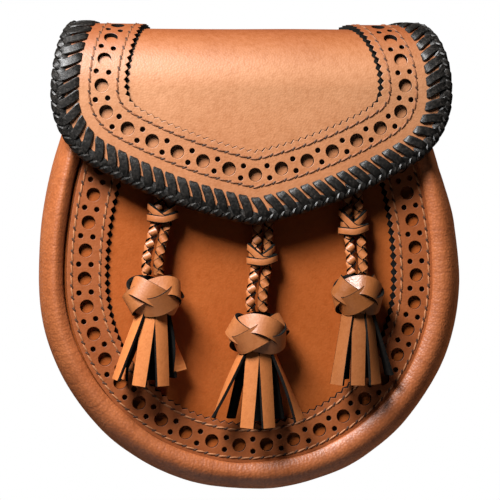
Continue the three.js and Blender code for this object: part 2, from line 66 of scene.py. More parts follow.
# The pouch from front to back
BACK_Y = -2.5
POUCH_DEPTH = 36.0
FRONT_Y = BACK_Y - POUCH_DEPTH
BORDER_BACK_Y = FRONT_Y - GLUE_LINE

# Lines round the front, measured in from the outside of the gusset
PANEL_INSET = 11.0
BORDER_INSET = 12.0
FRONT_OUTER_STITCH = 14.1
FRONT_HOLES = 19.6
FRONT_INNER_STITCH = 26.0
FRONT_TOOTH_ROOT = 28.0
FRONT_TOOTH_DEPTH = 1.3
FRONT_TOOTH_PITCH = 3.5
BORDER_TOP_Z = 10.0

# The soft roll round the pouch: distance from the middle of the bottom, fullness,
# lean of its lip over the border
ROLL_LEAN = [
    (-230.0, -0.4, -0.8),
    (-140.0, -0.7, -0.2),
    (-70.0, 0.28, 1.4),
    (0.0, 0.4, 1.6),
    (24.0, 1.4, 1.6),
    (48.0, 1.9, 1.7),
    (72.0, 1.7, 1.8),
    (142.0, 1.2, 2.1),
    (170.0, 0.2, 1.9),
    (190.0, -1.8, 1.7),
    (230.0, -2.4, 1.4),
]
ROLL_BULGE = 2.3
ROLL_CREST = 6.4
ROLL_CREST_WIDTH = 3.4
LIP_START = 3.0
LIP_WIDTH = 7.0
LIP_FORWARD = 0.7

# The flap as a flat pattern, v up, and v = 0 where the front leaves the arch
FLAP_HALF_WIDTH = 85.0
FLAP_TIP_V = -56.4
CORNER_RADIUS = 34.0
CORNER_V = -2.0
LOWER_ARC_RADIUS = 210.0
SIDE_TAPER_RADIUS = 95.0
SIDE_TAPER_ANGLE = math.radians(18.0)
FLAP_TAIL = 13.0
FLAP_TILT = math.radians(2.7)
FLAP_TOP_Z = 63.6
ARCH_RADIUS = 26.0
FLAP_BOW = 4.0
ARCH_Y = BACK_Y + GAP + FLAP_THICK - ARCH_RADIUS
ARCH_Z = FLAP_TOP_Z - ARCH_RADIUS
ARCH_LENGTH = ARCH_RADIUS * (math.pi + FLAP_TILT)
FLAP_END_V = ARCH_LENGTH + FLAP_TAIL

# Lines round the flap, measured in from the outside of the lacing
FLAP_EDGE = 4.2
FLAP_OUTER_STITCH = 15.4
FLAP_HOLES = 20.5
FLAP_INNER_STITCH = 27.0
FLAP_TOOTH_ROOT = 29.4
FLAP_TOOTH_DEPTH = 1.3
FLAP_TOOTH_PITCH = 3.2
FLAP_TOOTH_EASE = 13.0
FLAP_STITCH_EASE = 9.0

# Punched holes
EYELET_RADIUS = 2.85
PINHOLE_RADIUS = 1.1
PINHOLE_SPREAD = 2.6
FRONT_HOLE_PITCH = 11.9
FLAP_HOLE_PITCH = 11.45
FRONT_EYELETS = 28
FLAP_EYELETS = 25

# Painted shadow in the notches of the pinked edges: thin black sheets
NOTCH_THICK = 0.16
NOTCH_ROUNDING = 0.03
NOTCH_BACK = -0.6
NOTCH_LAP = 0.05
NOTCH_LEVEL = 0.2
NOTCH_STEEP = 1.8

# Lacing and stitching
LACE_WIDTH = 3.75
LACE_THICK = 1.0
LACE_PITCH = 5.4
LACE_LEAN = 4.2
LACE_LEAN_CHANGE = 0.22
LACE_SLIT = 10.8
BRAID_PITCH = 5.0
STITCH_PITCH = 4.9
STITCH_START = 3
STITCH_END = 6

# Tassels
PLAIT_RADIUS = 2.4
PLAIT_SPREAD = 2.45
PLAIT_PITCH = 10.6
THONG_WIDTH = 3.3
THONG_THICK = 0.55
THONG_WEAVE = 0.55
PLAIT_Y = -43.9
HEAD_Y = -48.6
CORD_HOLE_RADIUS = 6.8
NECK_RADIUS = 5.6
NECK_FLATNESS = 0.74
STRIP_TOP = 5.5
TASSELS = {
    "left": {
        "head": (-43.0, -49.8),
        "knot": (-38.5, -15.6),
        "hole": (-37.0, 6.0),
        "size": (11.4, 8.4, 10.2),
        "turn": 0.75,
        "tie": 0.62,
    },
    "middle": {
        "head": (1.1, -66.2),
        "knot": (3.8, -33.6),
        "hole": (4.2, -3.0),
        "size": (12.0, 8.6, 10.4),
        "turn": 1.5,
        "tie": 0.8,
    },
    "right": {
        "head": (44.2, -50.4),
        "knot": (43.3, -20.2),
        "hole": (42.6, 4.0),
        "size": (10.2, 8.2, 10.2),
        "turn": 0.2,
        "tie": 1.1,
    },
}
# The hides of each tassel: share of the strips' colour kept, share of the head's colour kept, roughness of
# the head. The two shares are painted shade: the lower, the darker, and the right tassel, farthest from the
# lamp, is painted darkest.
TASSEL_PAINTED_SHADE = {
    "left": (0.92, 0.92, 0.52),
    "middle": (0.82, 0.92, 0.54),
    "right": (0.5, 0.62, 0.38),
}
# Each strip: place round the neck in degrees from the front, free end across and back, drop, twist, curl.
STRIPS = {
    "left": [
        (-62, -16.2, -3.6, 35.0, -8, 1.5),
        (-20, -6.7, -5.6, 37.5, -4, 0.8),
        (26, 3.2, -5.4, 37.7, 4, 0.4),
        (96, 11.2, 2.0, 32.0, -84, 1.0),
        (120, 8.0, 3.6, 35.0, 0, 0.5),
        (170, 0.6, 5.0, 36.0, 0, 0.0),
        (-130, -12.3, 3.6, 35.7, 60, 0.5),
    ],
    "middle": [
        (-74, -19.2, -1.8, 35.6, -34, 2.0),
        (-24, -5.3, -5.6, 39.7, -3, 0.4),
        (24, 3.8, -5.6, 39.8, 3, 0.4),
        (72, 17.4, -2.6, 37.0, -30, 2.0),
        (128, 9.6, 4.0, 37.0, 0, 0.5),
        (178, 0.4, 5.0, 38.0, 0, 0.0),
        (-128, -11.0, 4.0, 36.5, 0, 0.5),
    ],
    "right": [
        (-50, -9.7, -4.0, 38.0, 12, 0.8),
        (-2, -1.1, -5.6, 38.2, 0, 0.4),
        (46, 6.8, -4.0, 38.0, -14, 0.8),
        (90, 14.0, 1.8, 34.6, 20, 1.2),
        (138, 7.0, 4.4, 36.0, 0, 0.5),
        (-142, -5.4, 4.6, 36.5, 0, 0.5),
    ],
}
STRIP_WIDTH = 6.3
STRIP_THICK = 1.3
KNOT_THONG = 3.4
# Each turn of a knot: slope, rise, half width, dip in the middle.
KNOT_TURNS = [
    (0.1, -2.6, 6.0, 0.25),
    (0.42, 0.6, 5.0, 0.6),
    (-0.5, -0.2, 5.7, 0.7),
]
HEAD_STRAP = 9.2


# Camera and light


def make_camera():
    """The view is from a little to the left and above, about arm's length off."""
    place = Vector((-0.1164, -0.9318, 0.0030))
    aim = Vector((-0.0008, -0.0399, -0.0313))
    roll = math.radians(-0.25)
    half_frame = 0.10675
    camera = bpy.data.objects.new("camera", bpy.data.cameras.new("camera"))
    camera.data.angle = 2 * math.atan(half_frame / (aim - place).length)
    camera.data.clip_start = 0.05
    camera.data.dof.use_dof = False
    camera.location = place
    facing = (aim - place).to_track_quat("-Z", "Y")
    camera.rotation_euler = (facing @ Quaternion((0.0, 0.0, 1.0), roll)).to_euler()
    bpy.context.collection.objects.link(camera)
    bpy.context.scene.camera = camera


def make_light(name, place, aim, power, size, shine=True):
    light = bpy.data.lights.new(name, "AREA")
    light.energy = power
    light.size = size
    lamp = bpy.data.objects.new(name, light)
    lamp.location = place
    lamp.rotation_euler = (Vector(aim) - Vector(place)).to_track_quat("-Z", "Y").to_euler()
    lamp.visible_glossy = shine
    bpy.context.collection.objects.link(lamp)


def make_studio():
    bpy.context.scene.view_settings.view_transform = "Standard"
    world = bpy.data.worlds.new("studio")
    bpy.context.scene.world = world
    world.use_nodes = True
    nodes, links = world.node_tree.nodes, world.node_tree.links
    soft = nodes["Background"]
    soft.inputs["Color"].default_value = (1.0, 1.0, 1.0, 1.0)
    soft.inputs["Strength"].default_value = 0.014
    white = nodes.new("ShaderNodeBackground")
    white.inputs["Color"].default_value = (1.0, 1.0, 1.0, 1.0)
    path = nodes.new("ShaderNodeLightPath")
    mix = nodes.new("ShaderNodeMixShader")
    links.new(path.outputs["Is Camera Ray"], mix.inputs[0])
    links.new(soft.outputs[0], mix.inputs[1])
    links.new(white.outputs[0], mix.inputs[2])
    links.new(mix.outputs[0], nodes["World Output"].inputs["Surface"])
    middle = (0.0, -0.04, -0.03)
    make_light("key", (-0.355, -0.45, 0.54), middle, 14.5, 0.30)
    make_light("right_back", (0.9, 0.45, -0.02), middle, 4.0, 0.5, False)
    make_light("left_back", (-0.6, 0.8, -0.02), middle, 4.5, 0.5, False)


def make_floor(material):
    bm = bmesh.new()
    bmesh.ops.create_circle(bm, cap_ends=True, segments=96, radius=0.55)
    mesh = bpy.data.meshes.new("floor")
    bm.transform(Matrix.Translation((0.0, 0.0, -0.8)))
    bm.to_mesh(mesh)
    bm.free()
    mesh.materials.append(material)
    floor = bpy.data.objects.new("floor", mesh)
    floor.visible_glossy = False
    bpy.context.collection.objects.link(floor)


# Materials


def new_material(name):
    material = bpy.data.materials.new(name)
    material.use_nodes = True
    nodes = material.node_tree.nodes
    return material, nodes, material.node_tree.links, nodes["Principled BSDF"]


def noise_on(nodes, links, place, scale, detail, roughness=0.55):
    texture = nodes.new("ShaderNodeTexNoise")
    texture.inputs["Scale"].default_value = scale
    texture.inputs["Detail"].default_value = detail
    texture.inputs["Roughness"].default_value = roughness
    links.new(place, texture.inputs["Vector"])
    return texture.outputs["Fac"]


def ramp_on(nodes, links, value, stops):
    ramp = nodes.new("ShaderNodeValToRGB")
    links.new(value, ramp.inputs["Fac"])
    elements = ramp.color_ramp.elements
    while len(elements) < len(stops):
        elements.new(0.5)
    for element, (position, colour) in zip(elements, stops):
        element.position = position
        element.color = (*colour, 1.0)
    return ramp.outputs["Color"]


def mixed(nodes, links, first, second, share, blend="MIX"):
    mix = nodes.new("ShaderNodeMix")
    mix.data_type = "RGBA"
    mix.blend_type = blend
    if isinstance(share, float):
        mix.inputs[0].default_value = share
    else:
        links.new(share, mix.inputs[0])
    links.new(first, mix.inputs[6])
    links.new(second, mix.inputs[7])
    return mix.outputs[2]


def ranged(nodes, links, value, low, high, start=0.3, end=0.7):
    span = nodes.new("ShaderNodeMapRange")
    span.inputs["From Min"].default_value = start
    span.inputs["From Max"].default_value = end
    span.inputs["To Min"].default_value = low
    span.inputs["To Max"].default_value = high
    links.new(value, span.inputs["Value"])
    return span.outputs["Result"]


def bumped(nodes, links, height, strength, distance, under=None):
    bump = nodes.new("ShaderNodeBump")
    bump.inputs["Strength"].default_value = strength
    bump.inputs["Distance"].default_value = distance
    links.new(height, bump.inputs["Height"])
    if under is not None:
        links.new(under, bump.inputs["Normal"])
    return bump.outputs["Normal"]


def leather(name, dark, middle, light, roughness, gloss, painted_light_by_height=None):
    """Dyed leather: cloudy colour, a fine pebbled grain with darker creases, and uneven polish.

    The ramp by height, if any, paints light into the colour: a painted highlight across the flap's face and
    painted shade along the fold over the top of the pouch.
    """
    material, nodes, links, shader = new_material(name)
    place = nodes.new("ShaderNodeTexCoord").outputs["Object"]
    cloud = noise_on(nodes, links, place, 38.0, 5.0)
    speck = noise_on(nodes, links, place, 420.0, 4.0, 0.65)
    pebble = nodes.new("ShaderNodeTexVoronoi")
    pebble.inputs["Scale"].default_value = 1100.0
    links.new(place, pebble.inputs["Vector"])
    body = ramp_on(nodes, links, cloud, [(0.3, dark), (0.5, middle), (0.72, light)])
    stops = [(0.3, (0.86, 0.81, 0.78)), (0.52, (1.0, 1.0, 1.0)), (0.75, (1.05, 1.04, 1.03))]
    spots = ramp_on(nodes, links, speck, stops)
    shaded = mixed(nodes, links, body, spots, 0.7, "MULTIPLY")
    stops = [(0.0, (1.0, 1.0, 1.0)), (0.8, (0.9, 0.87, 0.85))]
    crease = ramp_on(nodes, links, pebble.outputs["Distance"], stops)
    colour = mixed(nodes, links, shaded, crease, 0.6, "MULTIPLY")
    # Painted light by height: a painted highlight across the flap's face and painted shade along the fold
    # at the top.
    if painted_light_by_height:
        height = nodes.new("ShaderNodeSeparateXYZ")
        links.new(place, height.inputs["Vector"])
        share = ranged(nodes, links, height.outputs["Z"], 0.0, 1.0, 0.0, FLAP_TOP_Z * MM)
        colour = mixed(nodes, links, colour, ramp_on(nodes, links, share, painted_light_by_height), 1.0, "MULTIPLY")
    links.new(colour, shader.inputs["Base Color"])
    links.new(ranged(nodes, links, speck, roughness - 0.07, roughness + 0.09), shader.inputs["Roughness"])
    coarse = bumped(nodes, links, cloud, 0.06, 0.0005)
    fine = bumped(nodes, links, speck, 0.35, 0.00012, coarse)
    links.new(bumped(nodes, links, pebble.outputs["Distance"], 0.5, 0.0001, fine), shader.inputs["Normal"])
    shader.inputs["Specular IOR Level"].default_value = gloss
    return material


def shaded_copy_leather(name, colour, tone, roughness, gloss):
    """Leather for one tassel, its colour darkened by the tassel's share of painted shade."""
    middle = np.array(colour) * tone
    return leather(name, middle * 0.92, middle, middle * 1.06, roughness, gloss)


def soft_leather(name, dark, middle, light, roughness):
    """Gusset leather: the same dye on a softer skin, with small creases that run across the roll."""
    material, nodes, links, shader = new_material(name)
    coordinates = nodes.new("ShaderNodeTexCoord")
    place = coordinates.outputs["Object"]
    stretch = nodes.new("ShaderNodeMapping")
    stretch.inputs["Scale"].default_value = (1.0, 0.5, 1.0)
    stretch.inputs["Rotation"].default_value = (0.0, 0.0, 0.7)
    links.new(coordinates.outputs["UV"], stretch.inputs["Vector"])
    crease = noise_on(nodes, links, stretch.outputs["Vector"], 620.0, 3.0, 0.6)
    fold = noise_on(nodes, links, stretch.outputs["Vector"], 170.0, 3.0, 0.6)
    cloud = noise_on(nodes, links, place, 45.0, 5.0)
    speck = noise_on(nodes, links, place, 900.0, 3.0, 0.6)
    pebble = nodes.new("ShaderNodeTexVoronoi")
    pebble.inputs["Scale"].default_value = 950.0
    links.new(place, pebble.inputs["Vector"])
    body = ramp_on(nodes, links, cloud, [(0.3, dark), (0.5, middle), (0.72, light)])
    stops = [(0.32, (0.8, 0.75, 0.71)), (0.5, (1.0, 1.0, 1.0)), (0.7, (1.08, 1.08, 1.08))]
    lines = ramp_on(nodes, links, crease, stops)
    stops = [(0.2, (1.06, 1.06, 1.06)), (0.75, (0.8, 0.75, 0.7))]
    pits = ramp_on(nodes, links, pebble.outputs["Distance"], stops)
    creased = mixed(nodes, links, body, lines, 0.8, "MULTIPLY")
    links.new(mixed(nodes, links, creased, pits, 0.7, "MULTIPLY"), shader.inputs["Base Color"])
    links.new(ranged(nodes, links, speck, roughness - 0.06, roughness + 0.1), shader.inputs["Roughness"])
    wide = bumped(nodes, links, fold, 0.3, 0.0004)
    narrow = bumped(nodes, links, crease, 0.5, 0.0002, wide)
    grain = nodes.new("ShaderNodeBump")
    grain.invert = True
    grain.inputs["Strength"].default_value = 0.6
    grain.inputs["Distance"].default_value = 0.0002
    links.new(pebble.outputs["Distance"], grain.inputs["Height"])
    links.new(narrow, grain.inputs["Normal"])
    links.new(grain.outputs["Normal"], shader.inputs["Normal"])
    shader.inputs["Specular IOR Level"].default_value = 0.7
    return material


def black_lace_leather():
    """Black lace: a dyed face with a fine cross grain, and lighter grey flecks and rubbed patches that are
    partly wear and partly a painted sheen.
    """
    material, nodes, links, shader = new_material("black_lace")
    place = nodes.new("ShaderNodeTexCoord").outputs["Object"]
    fleck = noise_on(nodes, links, place, 1000.0, 4.0, 0.7)
    wear_and_sheen = noise_on(nodes, links, place, 160.0, 3.0)
    # The grey flecks and the lighter rubbed patches are partly wear and partly a painted sheen.
    stops = [(0.35, (0.003, 0.003, 0.003)), (0.55, (0.014, 0.012, 0.01)), (0.75, (0.062, 0.05, 0.044))]
    body = ramp_on(nodes, links, fleck, stops)
    rub_and_sheen = ramp_on(nodes, links, wear_and_sheen, [(0.4, (0.8, 0.8, 0.8)), (0.7, (1.5, 1.45, 1.4))])
    links.new(mixed(nodes, links, body, rub_and_sheen, 1.0, "MULTIPLY"), shader.inputs["Base Color"])
    links.new(ranged(nodes, links, fleck, 0.32, 0.54), shader.inputs["Roughness"])
    links.new(bumped(nodes, links, fleck, 0.8, 0.0002), shader.inputs["Normal"])
    shader.inputs["Specular IOR Level"].default_value = 0.6
    return material


def flesh_side():
    """The raw black edge and underside of the strips and straps: fibrous and dull."""
    material, nodes, links, shader = new_material("black_flesh_side")
    place = nodes.new("ShaderNodeTexCoord").outputs["Object"]
    fibre = noise_on(nodes, links, place, 900.0, 5.0, 0.7)
    stops = [(0.3, (0.002, 0.002, 0.002)), (0.7, (0.014, 0.012, 0.01))]
    links.new(ramp_on(nodes, links, fibre, stops), shader.inputs["Base Color"])
    links.new(ranged(nodes, links, fibre, 0.75, 0.95), shader.inputs["Roughness"])
    shader.inputs["Specular IOR Level"].default_value = 0.12
    links.new(bumped(nodes, links, fibre, 0.6, 0.0002), shader.inputs["Normal"])
    return material


def thread_material(name, dark, light):
    """Waxed thread with a fine twist."""
    material, nodes, links, shader = new_material(name)
    place = nodes.new("ShaderNodeTexCoord").outputs["Object"]
    twist = noise_on(nodes, links, place, 2200.0, 2.0)
    links.new(ramp_on(nodes, links, twist, [(0.35, dark), (0.65, light)]), shader.inputs["Base Color"])
    links.new(ranged(nodes, links, twist, 0.5, 0.7), shader.inputs["Roughness"])
    links.new(bumped(nodes, links, twist, 0.5, 0.0001), shader.inputs["Normal"])
    return material


def floor_paint():
    material, nodes, links, shader = new_material("pale_floor")
    place = nodes.new("ShaderNodeTexCoord").outputs["Object"]
    tone = noise_on(nodes, links, place, 6.0, 3.0)
    stops = [(0.3, (0.86, 0.86, 0.86)), (0.7, (0.9, 0.9, 0.9))]
    links.new(ramp_on(nodes, links, tone, stops), shader.inputs["Base Color"])
    shader.inputs["Roughness"].default_value = 0.8
    shader.inputs["Emission Color"].default_value = (1.0, 1.0, 1.0, 1.0)
    shader.inputs["Emission Strength"].default_value = 0.35
    return material


# Lines on flat leather


def arc(x, y, radius, start, end):
    count = max(3, int(abs(end - start) * radius / 0.7))
    turn = np.linspace(start, end, count + 1)
    return np.column_stack((x + radius * np.cos(turn), y + radius * np.sin(turn)))


class Line:
    """A line drawn on flat leather from left to right, with distances measured from its middle."""

    def __init__(self, *runs):
        points = np.vstack(runs)
        steps = np.linalg.norm(np.diff(points, axis=0), axis=1)
        self.points = points[np.r_[True, steps > 1e-6]]
        steps = np.linalg.norm(np.diff(self.points, axis=0), axis=1)
        self.distance = np.r_[0.0, np.cumsum(steps)]
        self.half = self.distance[-1] / 2
        self.distance -= self.half

    def at(self, distance):
        return np.array([np.interp(distance, self.distance, self.points[:, k]) for k in (0, 1)])

    def along(self, distance):
        step = self.at(min(distance + 0.3, self.half)) - self.at(max(distance - 0.3, -self.half))
        return step / np.linalg.norm(step)

    def beside(self, distance, inset, ahead=0.0):
        along = self.along(distance)
        inwards = np.array([-along[1], along[0]])
        return self.at(distance) + inwards * inset + along * ahead

    def eased(self, reach):
        """The same line with the tight bends at its corners opened out; the point in the middle stays."""
        step = 0.5
        fine = np.array([self.at(d) for d in np.arange(-self.half, self.half + step / 2, step)])
        count = int(reach / step)
        weights = np.hanning(2 * count + 3)[1:-1]
        lead = fine[0] + (fine[0] - fine[1]) * np.arange(count, 0, -1)[:, None]
        tail = fine[-1] + (fine[-1] - fine[-2]) * np.arange(1, count + 1)[:, None]
        padded = np.vstack((lead, fine, tail))
        weights = weights / weights.sum()
        smooth = np.column_stack([np.convolve(padded[:, k], weights, "valid") for k in (0, 1)])
        share = np.clip((np.abs(fine[:, :1]) - 20.0) / 14.0, 0.0, 1.0)
        return Line(fine + (smooth - fine) * share)


def pouch_line(inset, top):
    lean = math.asin(SIDE_ARC_RISE / SIDE_ARC_RADIUS)
    side = SIDE_ARC_RADIUS - POUCH_RADIUS
    radius = SIDE_ARC_RADIUS - inset
    shoulder = (radius * math.cos(lean) - side, POUCH_CENTRE_Z + radius * math.sin(lean))
    end = shoulder[0] - (top - shoulder[1]) * math.tan(lean)
    straight = np.linspace((end, top), shoulder, 40)
    arcs = [
        arc(side, POUCH_CENTRE_Z, radius, math.pi - lean, math.pi),
        arc(0.0, POUCH_CENTRE_Z, POUCH_RADIUS - inset, math.pi, 2 * math.pi),
        arc(-side, POUCH_CENTRE_Z, radius, 0.0, lean),
    ]
    if top <= shoulder[1]:
        runs = np.vstack(arcs)
        return Line(runs[runs[:, 1] <= top])
    return Line(straight * (-1, 1), *arcs, straight[::-1])


def lower_arc_centre():
    """The arc under the left half of the flap touches the corner's arc and ends at the point."""
    corner = np.array([CORNER_RADIUS - FLAP_HALF_WIDTH, CORNER_V])
    low, high = 0.0, LOWER_ARC_RADIUS / 2
    for _ in range(60):
        x = (low + high) / 2
        centre = np.array([x, FLAP_TIP_V + math.sqrt(LOWER_ARC_RADIUS**2 - x**2)])
        if np.linalg.norm(centre - corner) < LOWER_ARC_RADIUS - CORNER_RADIUS:
            low = x
        else:
            high = x
    return centre


LOWER_CENTRE = lower_arc_centre()


def flap_line(inset):
    corner_x = FLAP_HALF_WIDTH - CORNER_RADIUS
    centre_x, centre_v = LOWER_CENTRE
    join = math.atan2(centre_v - CORNER_V, corner_x + centre_x)
    tip = math.asin(centre_x / (LOWER_ARC_RADIUS - inset))
    taper = SIDE_TAPER_RADIUS - inset
    taper_x = SIDE_TAPER_RADIUS - FLAP_HALF_WIDTH
    shoulder_x = taper * math.cos(SIDE_TAPER_ANGLE) - taper_x
    shoulder_v = CORNER_V + taper * math.sin(SIDE_TAPER_ANGLE)
    end_x = shoulder_x - (FLAP_END_V - shoulder_v) * math.tan(SIDE_TAPER_ANGLE)
    straight = np.linspace((end_x, FLAP_END_V), (shoulder_x, shoulder_v), 80)
    corner = max(CORNER_RADIUS - inset, 0.05)
    reach = LOWER_ARC_RADIUS - inset
    return Line(
        straight * (-1, 1),
        arc(taper_x, CORNER_V, taper, math.pi - SIDE_TAPER_ANGLE, math.pi),
        arc(-corner_x, CORNER_V, corner, math.pi, math.pi + join),
        arc(centre_x, centre_v, reach, math.pi + join, 1.5 * math.pi - tip),
        arc(-centre_x, centre_v, reach, 1.5 * math.pi + tip, 2 * math.pi - join),
        arc(corner_x, CORNER_V, corner, -join, 0.0),
        arc(-taper_x, CORNER_V, taper, 0.0, SIDE_TAPER_ANGLE),
        straight[::-1],
    )


def pinked(root, depth, pitch):
    """A line of pointed teeth whose notches reach back to the root line."""
    teeth = round(2 * root.half / pitch)
    stops = np.linspace(-root.half, root.half, 2 * teeth + 1)
    return np.array([root.beside(stop, depth * (i % 2)) for i, stop in enumerate(stops)])


def notch_shadows(root, depth, pitch):
    """Painted shadow: black diamonds in the notches, full where the edge runs up and down and light from
    above leaves the notches in shade, and small where it lies level and faces the light.
    """
    teeth = round(2 * root.half / pitch)
    stops = np.linspace(-root.half, root.half, 2 * teeth + 1)
    back = [root.beside(stop, NOTCH_BACK) for stop in stops]
    front = []
    for i, stop in enumerate(stops):
        steep = abs(root.along(stop)[1]) ** 5
        reach = depth + NOTCH_LAP if i % 2 else depth * (NOTCH_LEVEL + NOTCH_STEEP * steep)
        front.append(root.beside(stop, reach))
    return np.array(back + front[::-1])


def ring(centre, radius, sides):
    turn = np.linspace(0.0, 2 * math.pi, sides, endpoint=False)[::-1]
    return np.column_stack((centre[0] + radius * np.cos(turn), centre[1] + radius * np.sin(turn)))


def punched(line, pitch, eyelets):
    """Eyelets along a line, with a pair of pinholes in each space between them."""
    places = (np.arange(eyelets) - (eyelets - 1) / 2) * pitch
    holes = [ring(line.at(d), EYELET_RADIUS, 28) for d in places]
    for d in (places[:-1] + places[1:]) / 2:
        for side in (-PINHOLE_SPREAD, PINHOLE_SPREAD):
            holes.append(ring(line.beside(d, side), PINHOLE_RADIUS, 14))
    return holes


# Flat and bent leather


def cut_leather(outline, holes, thick, rounding=EDGE_ROUNDING, face_index=0):
    """A flat piece of leather, cut to an outline with holes and softened at its black edges."""
    pattern = bpy.data.curves.new("pattern", "CURVE")
    pattern.dimensions = "2D"
    pattern.fill_mode = "BOTH"
    pattern.extrude = thick / 2 - rounding
    pattern.bevel_depth = rounding
    pattern.bevel_resolution = 1
    pattern.offset = -rounding
    for loop in [outline, *holes]:
        spline = pattern.splines.new("POLY")
        spline.points.add(len(loop) - 1)
        spline.use_cyclic_u = True
        for point, (x, y) in zip(spline.points, loop):
            point.co = (x, y, 0.0, 1.0)
    holder = bpy.data.objects.new("pattern", pattern)
    mesh = bpy.data.meshes.new_from_object(holder)
    bm = bmesh.new()
    bm.from_mesh(mesh)
    bpy.data.meshes.remove(mesh)
    bpy.data.objects.remove(holder)
    bpy.data.curves.remove(pattern)
    bmesh.ops.remove_doubles(bm, verts=bm.verts, dist=0.002)
    bmesh.ops.recalc_face_normals(bm, faces=bm.faces)
    for face in bm.faces:
        face.material_index = face_index if abs(face.normal.z) > 0.9 else 1
    return bm


def stand_up(bm, back_y, thick):
    """Turns flat leather to face the front, with its underside at back_y."""
    bm.transform(Matrix.Translation((0.0, back_y - thick / 2, 0.0)) @ Matrix.Rotation(math.pi / 2, 4, "X"))
    return bm


def swell(x, v):
    """A slight unevenness of the hand-worked flap."""
    return 0.35 * noise.noise(Vector((x * 0.03, v * 0.035, 4.2)))


def flap_point(x, v, lift):
    """A point of the flap's pattern in space; lift is the distance out from the flap's face."""
    front = min(max(1.0 - 2.0 * v / ARCH_LENGTH, 0.0), 1.0)
    bow = FLAP_BOW * front * front * (3.0 - 2.0 * front) * (x / FLAP_HALF_WIDTH) ** 2
    reach = ARCH_RADIUS + lift + swell(x, v) - bow
    if v > ARCH_LENGTH:
        return Vector((x, ARCH_Y + reach, ARCH_Z - (v - ARCH_LENGTH)))
    angle = max(v, 0.0) / ARCH_RADIUS - FLAP_TILT
    down = max(-v, 0.0)
    return Vector((
        x,
        ARCH_Y - reach * math.cos(angle) - down * math.sin(angle),
        ARCH_Z + reach * math.sin(angle) - down * math.cos(angle),
    ))


def drape(bm, low, thick):
    """Bends flat leather over the flap's arch, with its underside at a lift of low."""
    cuts = [((0.0, v, 0.0), (0.0, 1.0, 0.0)) for v in np.arange(-52.0, FLAP_END_V, 2.6)]
    cuts += [((x, 0.0, 0.0), (1.0, 0.0, 0.0)) for x in np.arange(-78.0, 79.0, 6.0)]
    for point, normal in cuts:
        everything = bm.verts[:] + bm.edges[:] + bm.faces[:]
        bmesh.ops.bisect_plane(bm, geom=everything, dist=0.0005, plane_co=point, plane_no=normal)
    for vert in bm.verts:
        vert.co = flap_point(vert.co.x, vert.co.y, low + thick / 2 + vert.co.z)
    return bm


def finish(name, bm, materials, node, sharp=20.0):
    """Scales a piece to metres, gives it its finish and fixes it to the pouch."""
    bm.transform(Matrix.Scale(MM, 4))
    mesh = bpy.data.meshes.new(name)
    bm.to_mesh(mesh)
    bm.free()
    for material in materials:
        mesh.materials.append(material)
    mesh.shade_smooth()
    mesh.set_sharp_from_angle(angle=math.radians(sharp))
    piece = bpy.data.objects.new(name, mesh)
    bpy.context.collection.objects.link(piece)
    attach(piece, "root")
    if node:
        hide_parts(node)
    return piece


def add_copy(bm, template, places):
    """Adds a copy of a small shape, with its points moved to new places."""
    start = len(bm.verts)
    bm.from_mesh(template)
    bm.verts.ensure_lookup_table()
    bm.faces.ensure_lookup_table()
    for vert, place in zip(bm.verts[start:], places):
        vert.co = place


def join(bm, other):
    """Adds another piece to this one."""
    mesh = bpy.data.meshes.new("part")
    other.to_mesh(mesh)
    other.free()
    bm.from_mesh(mesh)
    bpy.data.meshes.remove(mesh)


def points_of(template):
    points = np.zeros(len(template.vertices) * 3)
    template.vertices.foreach_get("co", points)
    return points.reshape(-1, 3)


# Front of the pouch


def panel_outline():
    return pouch_line(PANEL_INSET, MOUTH_Z).points[::2]


def make_front_panel(materials):
    holes = [ring(t["hole"], CORD_HOLE_RADIUS, 24) for t in TASSELS.values()]
    bm = stand_up(cut_leather(panel_outline(), holes, PANEL_THICK), FRONT_Y + PANEL_THICK, PANEL_THICK)
    finish("front_panel_leather", bm, materials, "front_panel")


def make_back_panel(materials):
    bm = stand_up(cut_leather(panel_outline(), [], PANEL_THICK), BACK_Y, PANEL_THICK)
    finish("back_panel_leather", bm, materials, "back_panel")


def make_front_border(materials):
    outer = pouch_line(BORDER_INSET, BORDER_TOP_Z).points[::2]
    teeth = (pouch_line(FRONT_TOOTH_ROOT, BORDER_TOP_Z), FRONT_TOOTH_DEPTH, FRONT_TOOTH_PITCH)
    holes = punched(pouch_line(FRONT_HOLES, BORDER_TOP_Z), FRONT_HOLE_PITCH, FRONT_EYELETS)
    flat = cut_leather(np.vstack((outer, pinked(*teeth)[::-1])), holes, BORDER_THICK)
    bm = stand_up(flat, BORDER_BACK_Y, BORDER_THICK)
    # Painted shadow: thin black sheets in the notches of the pinked edge.
    notches = cut_leather(notch_shadows(*teeth), [], NOTCH_THICK, NOTCH_ROUNDING, 1)
    join(bm, stand_up(notches, BORDER_BACK_Y, NOTCH_THICK))
    finish("front_border_leather", bm, materials, "front_border")


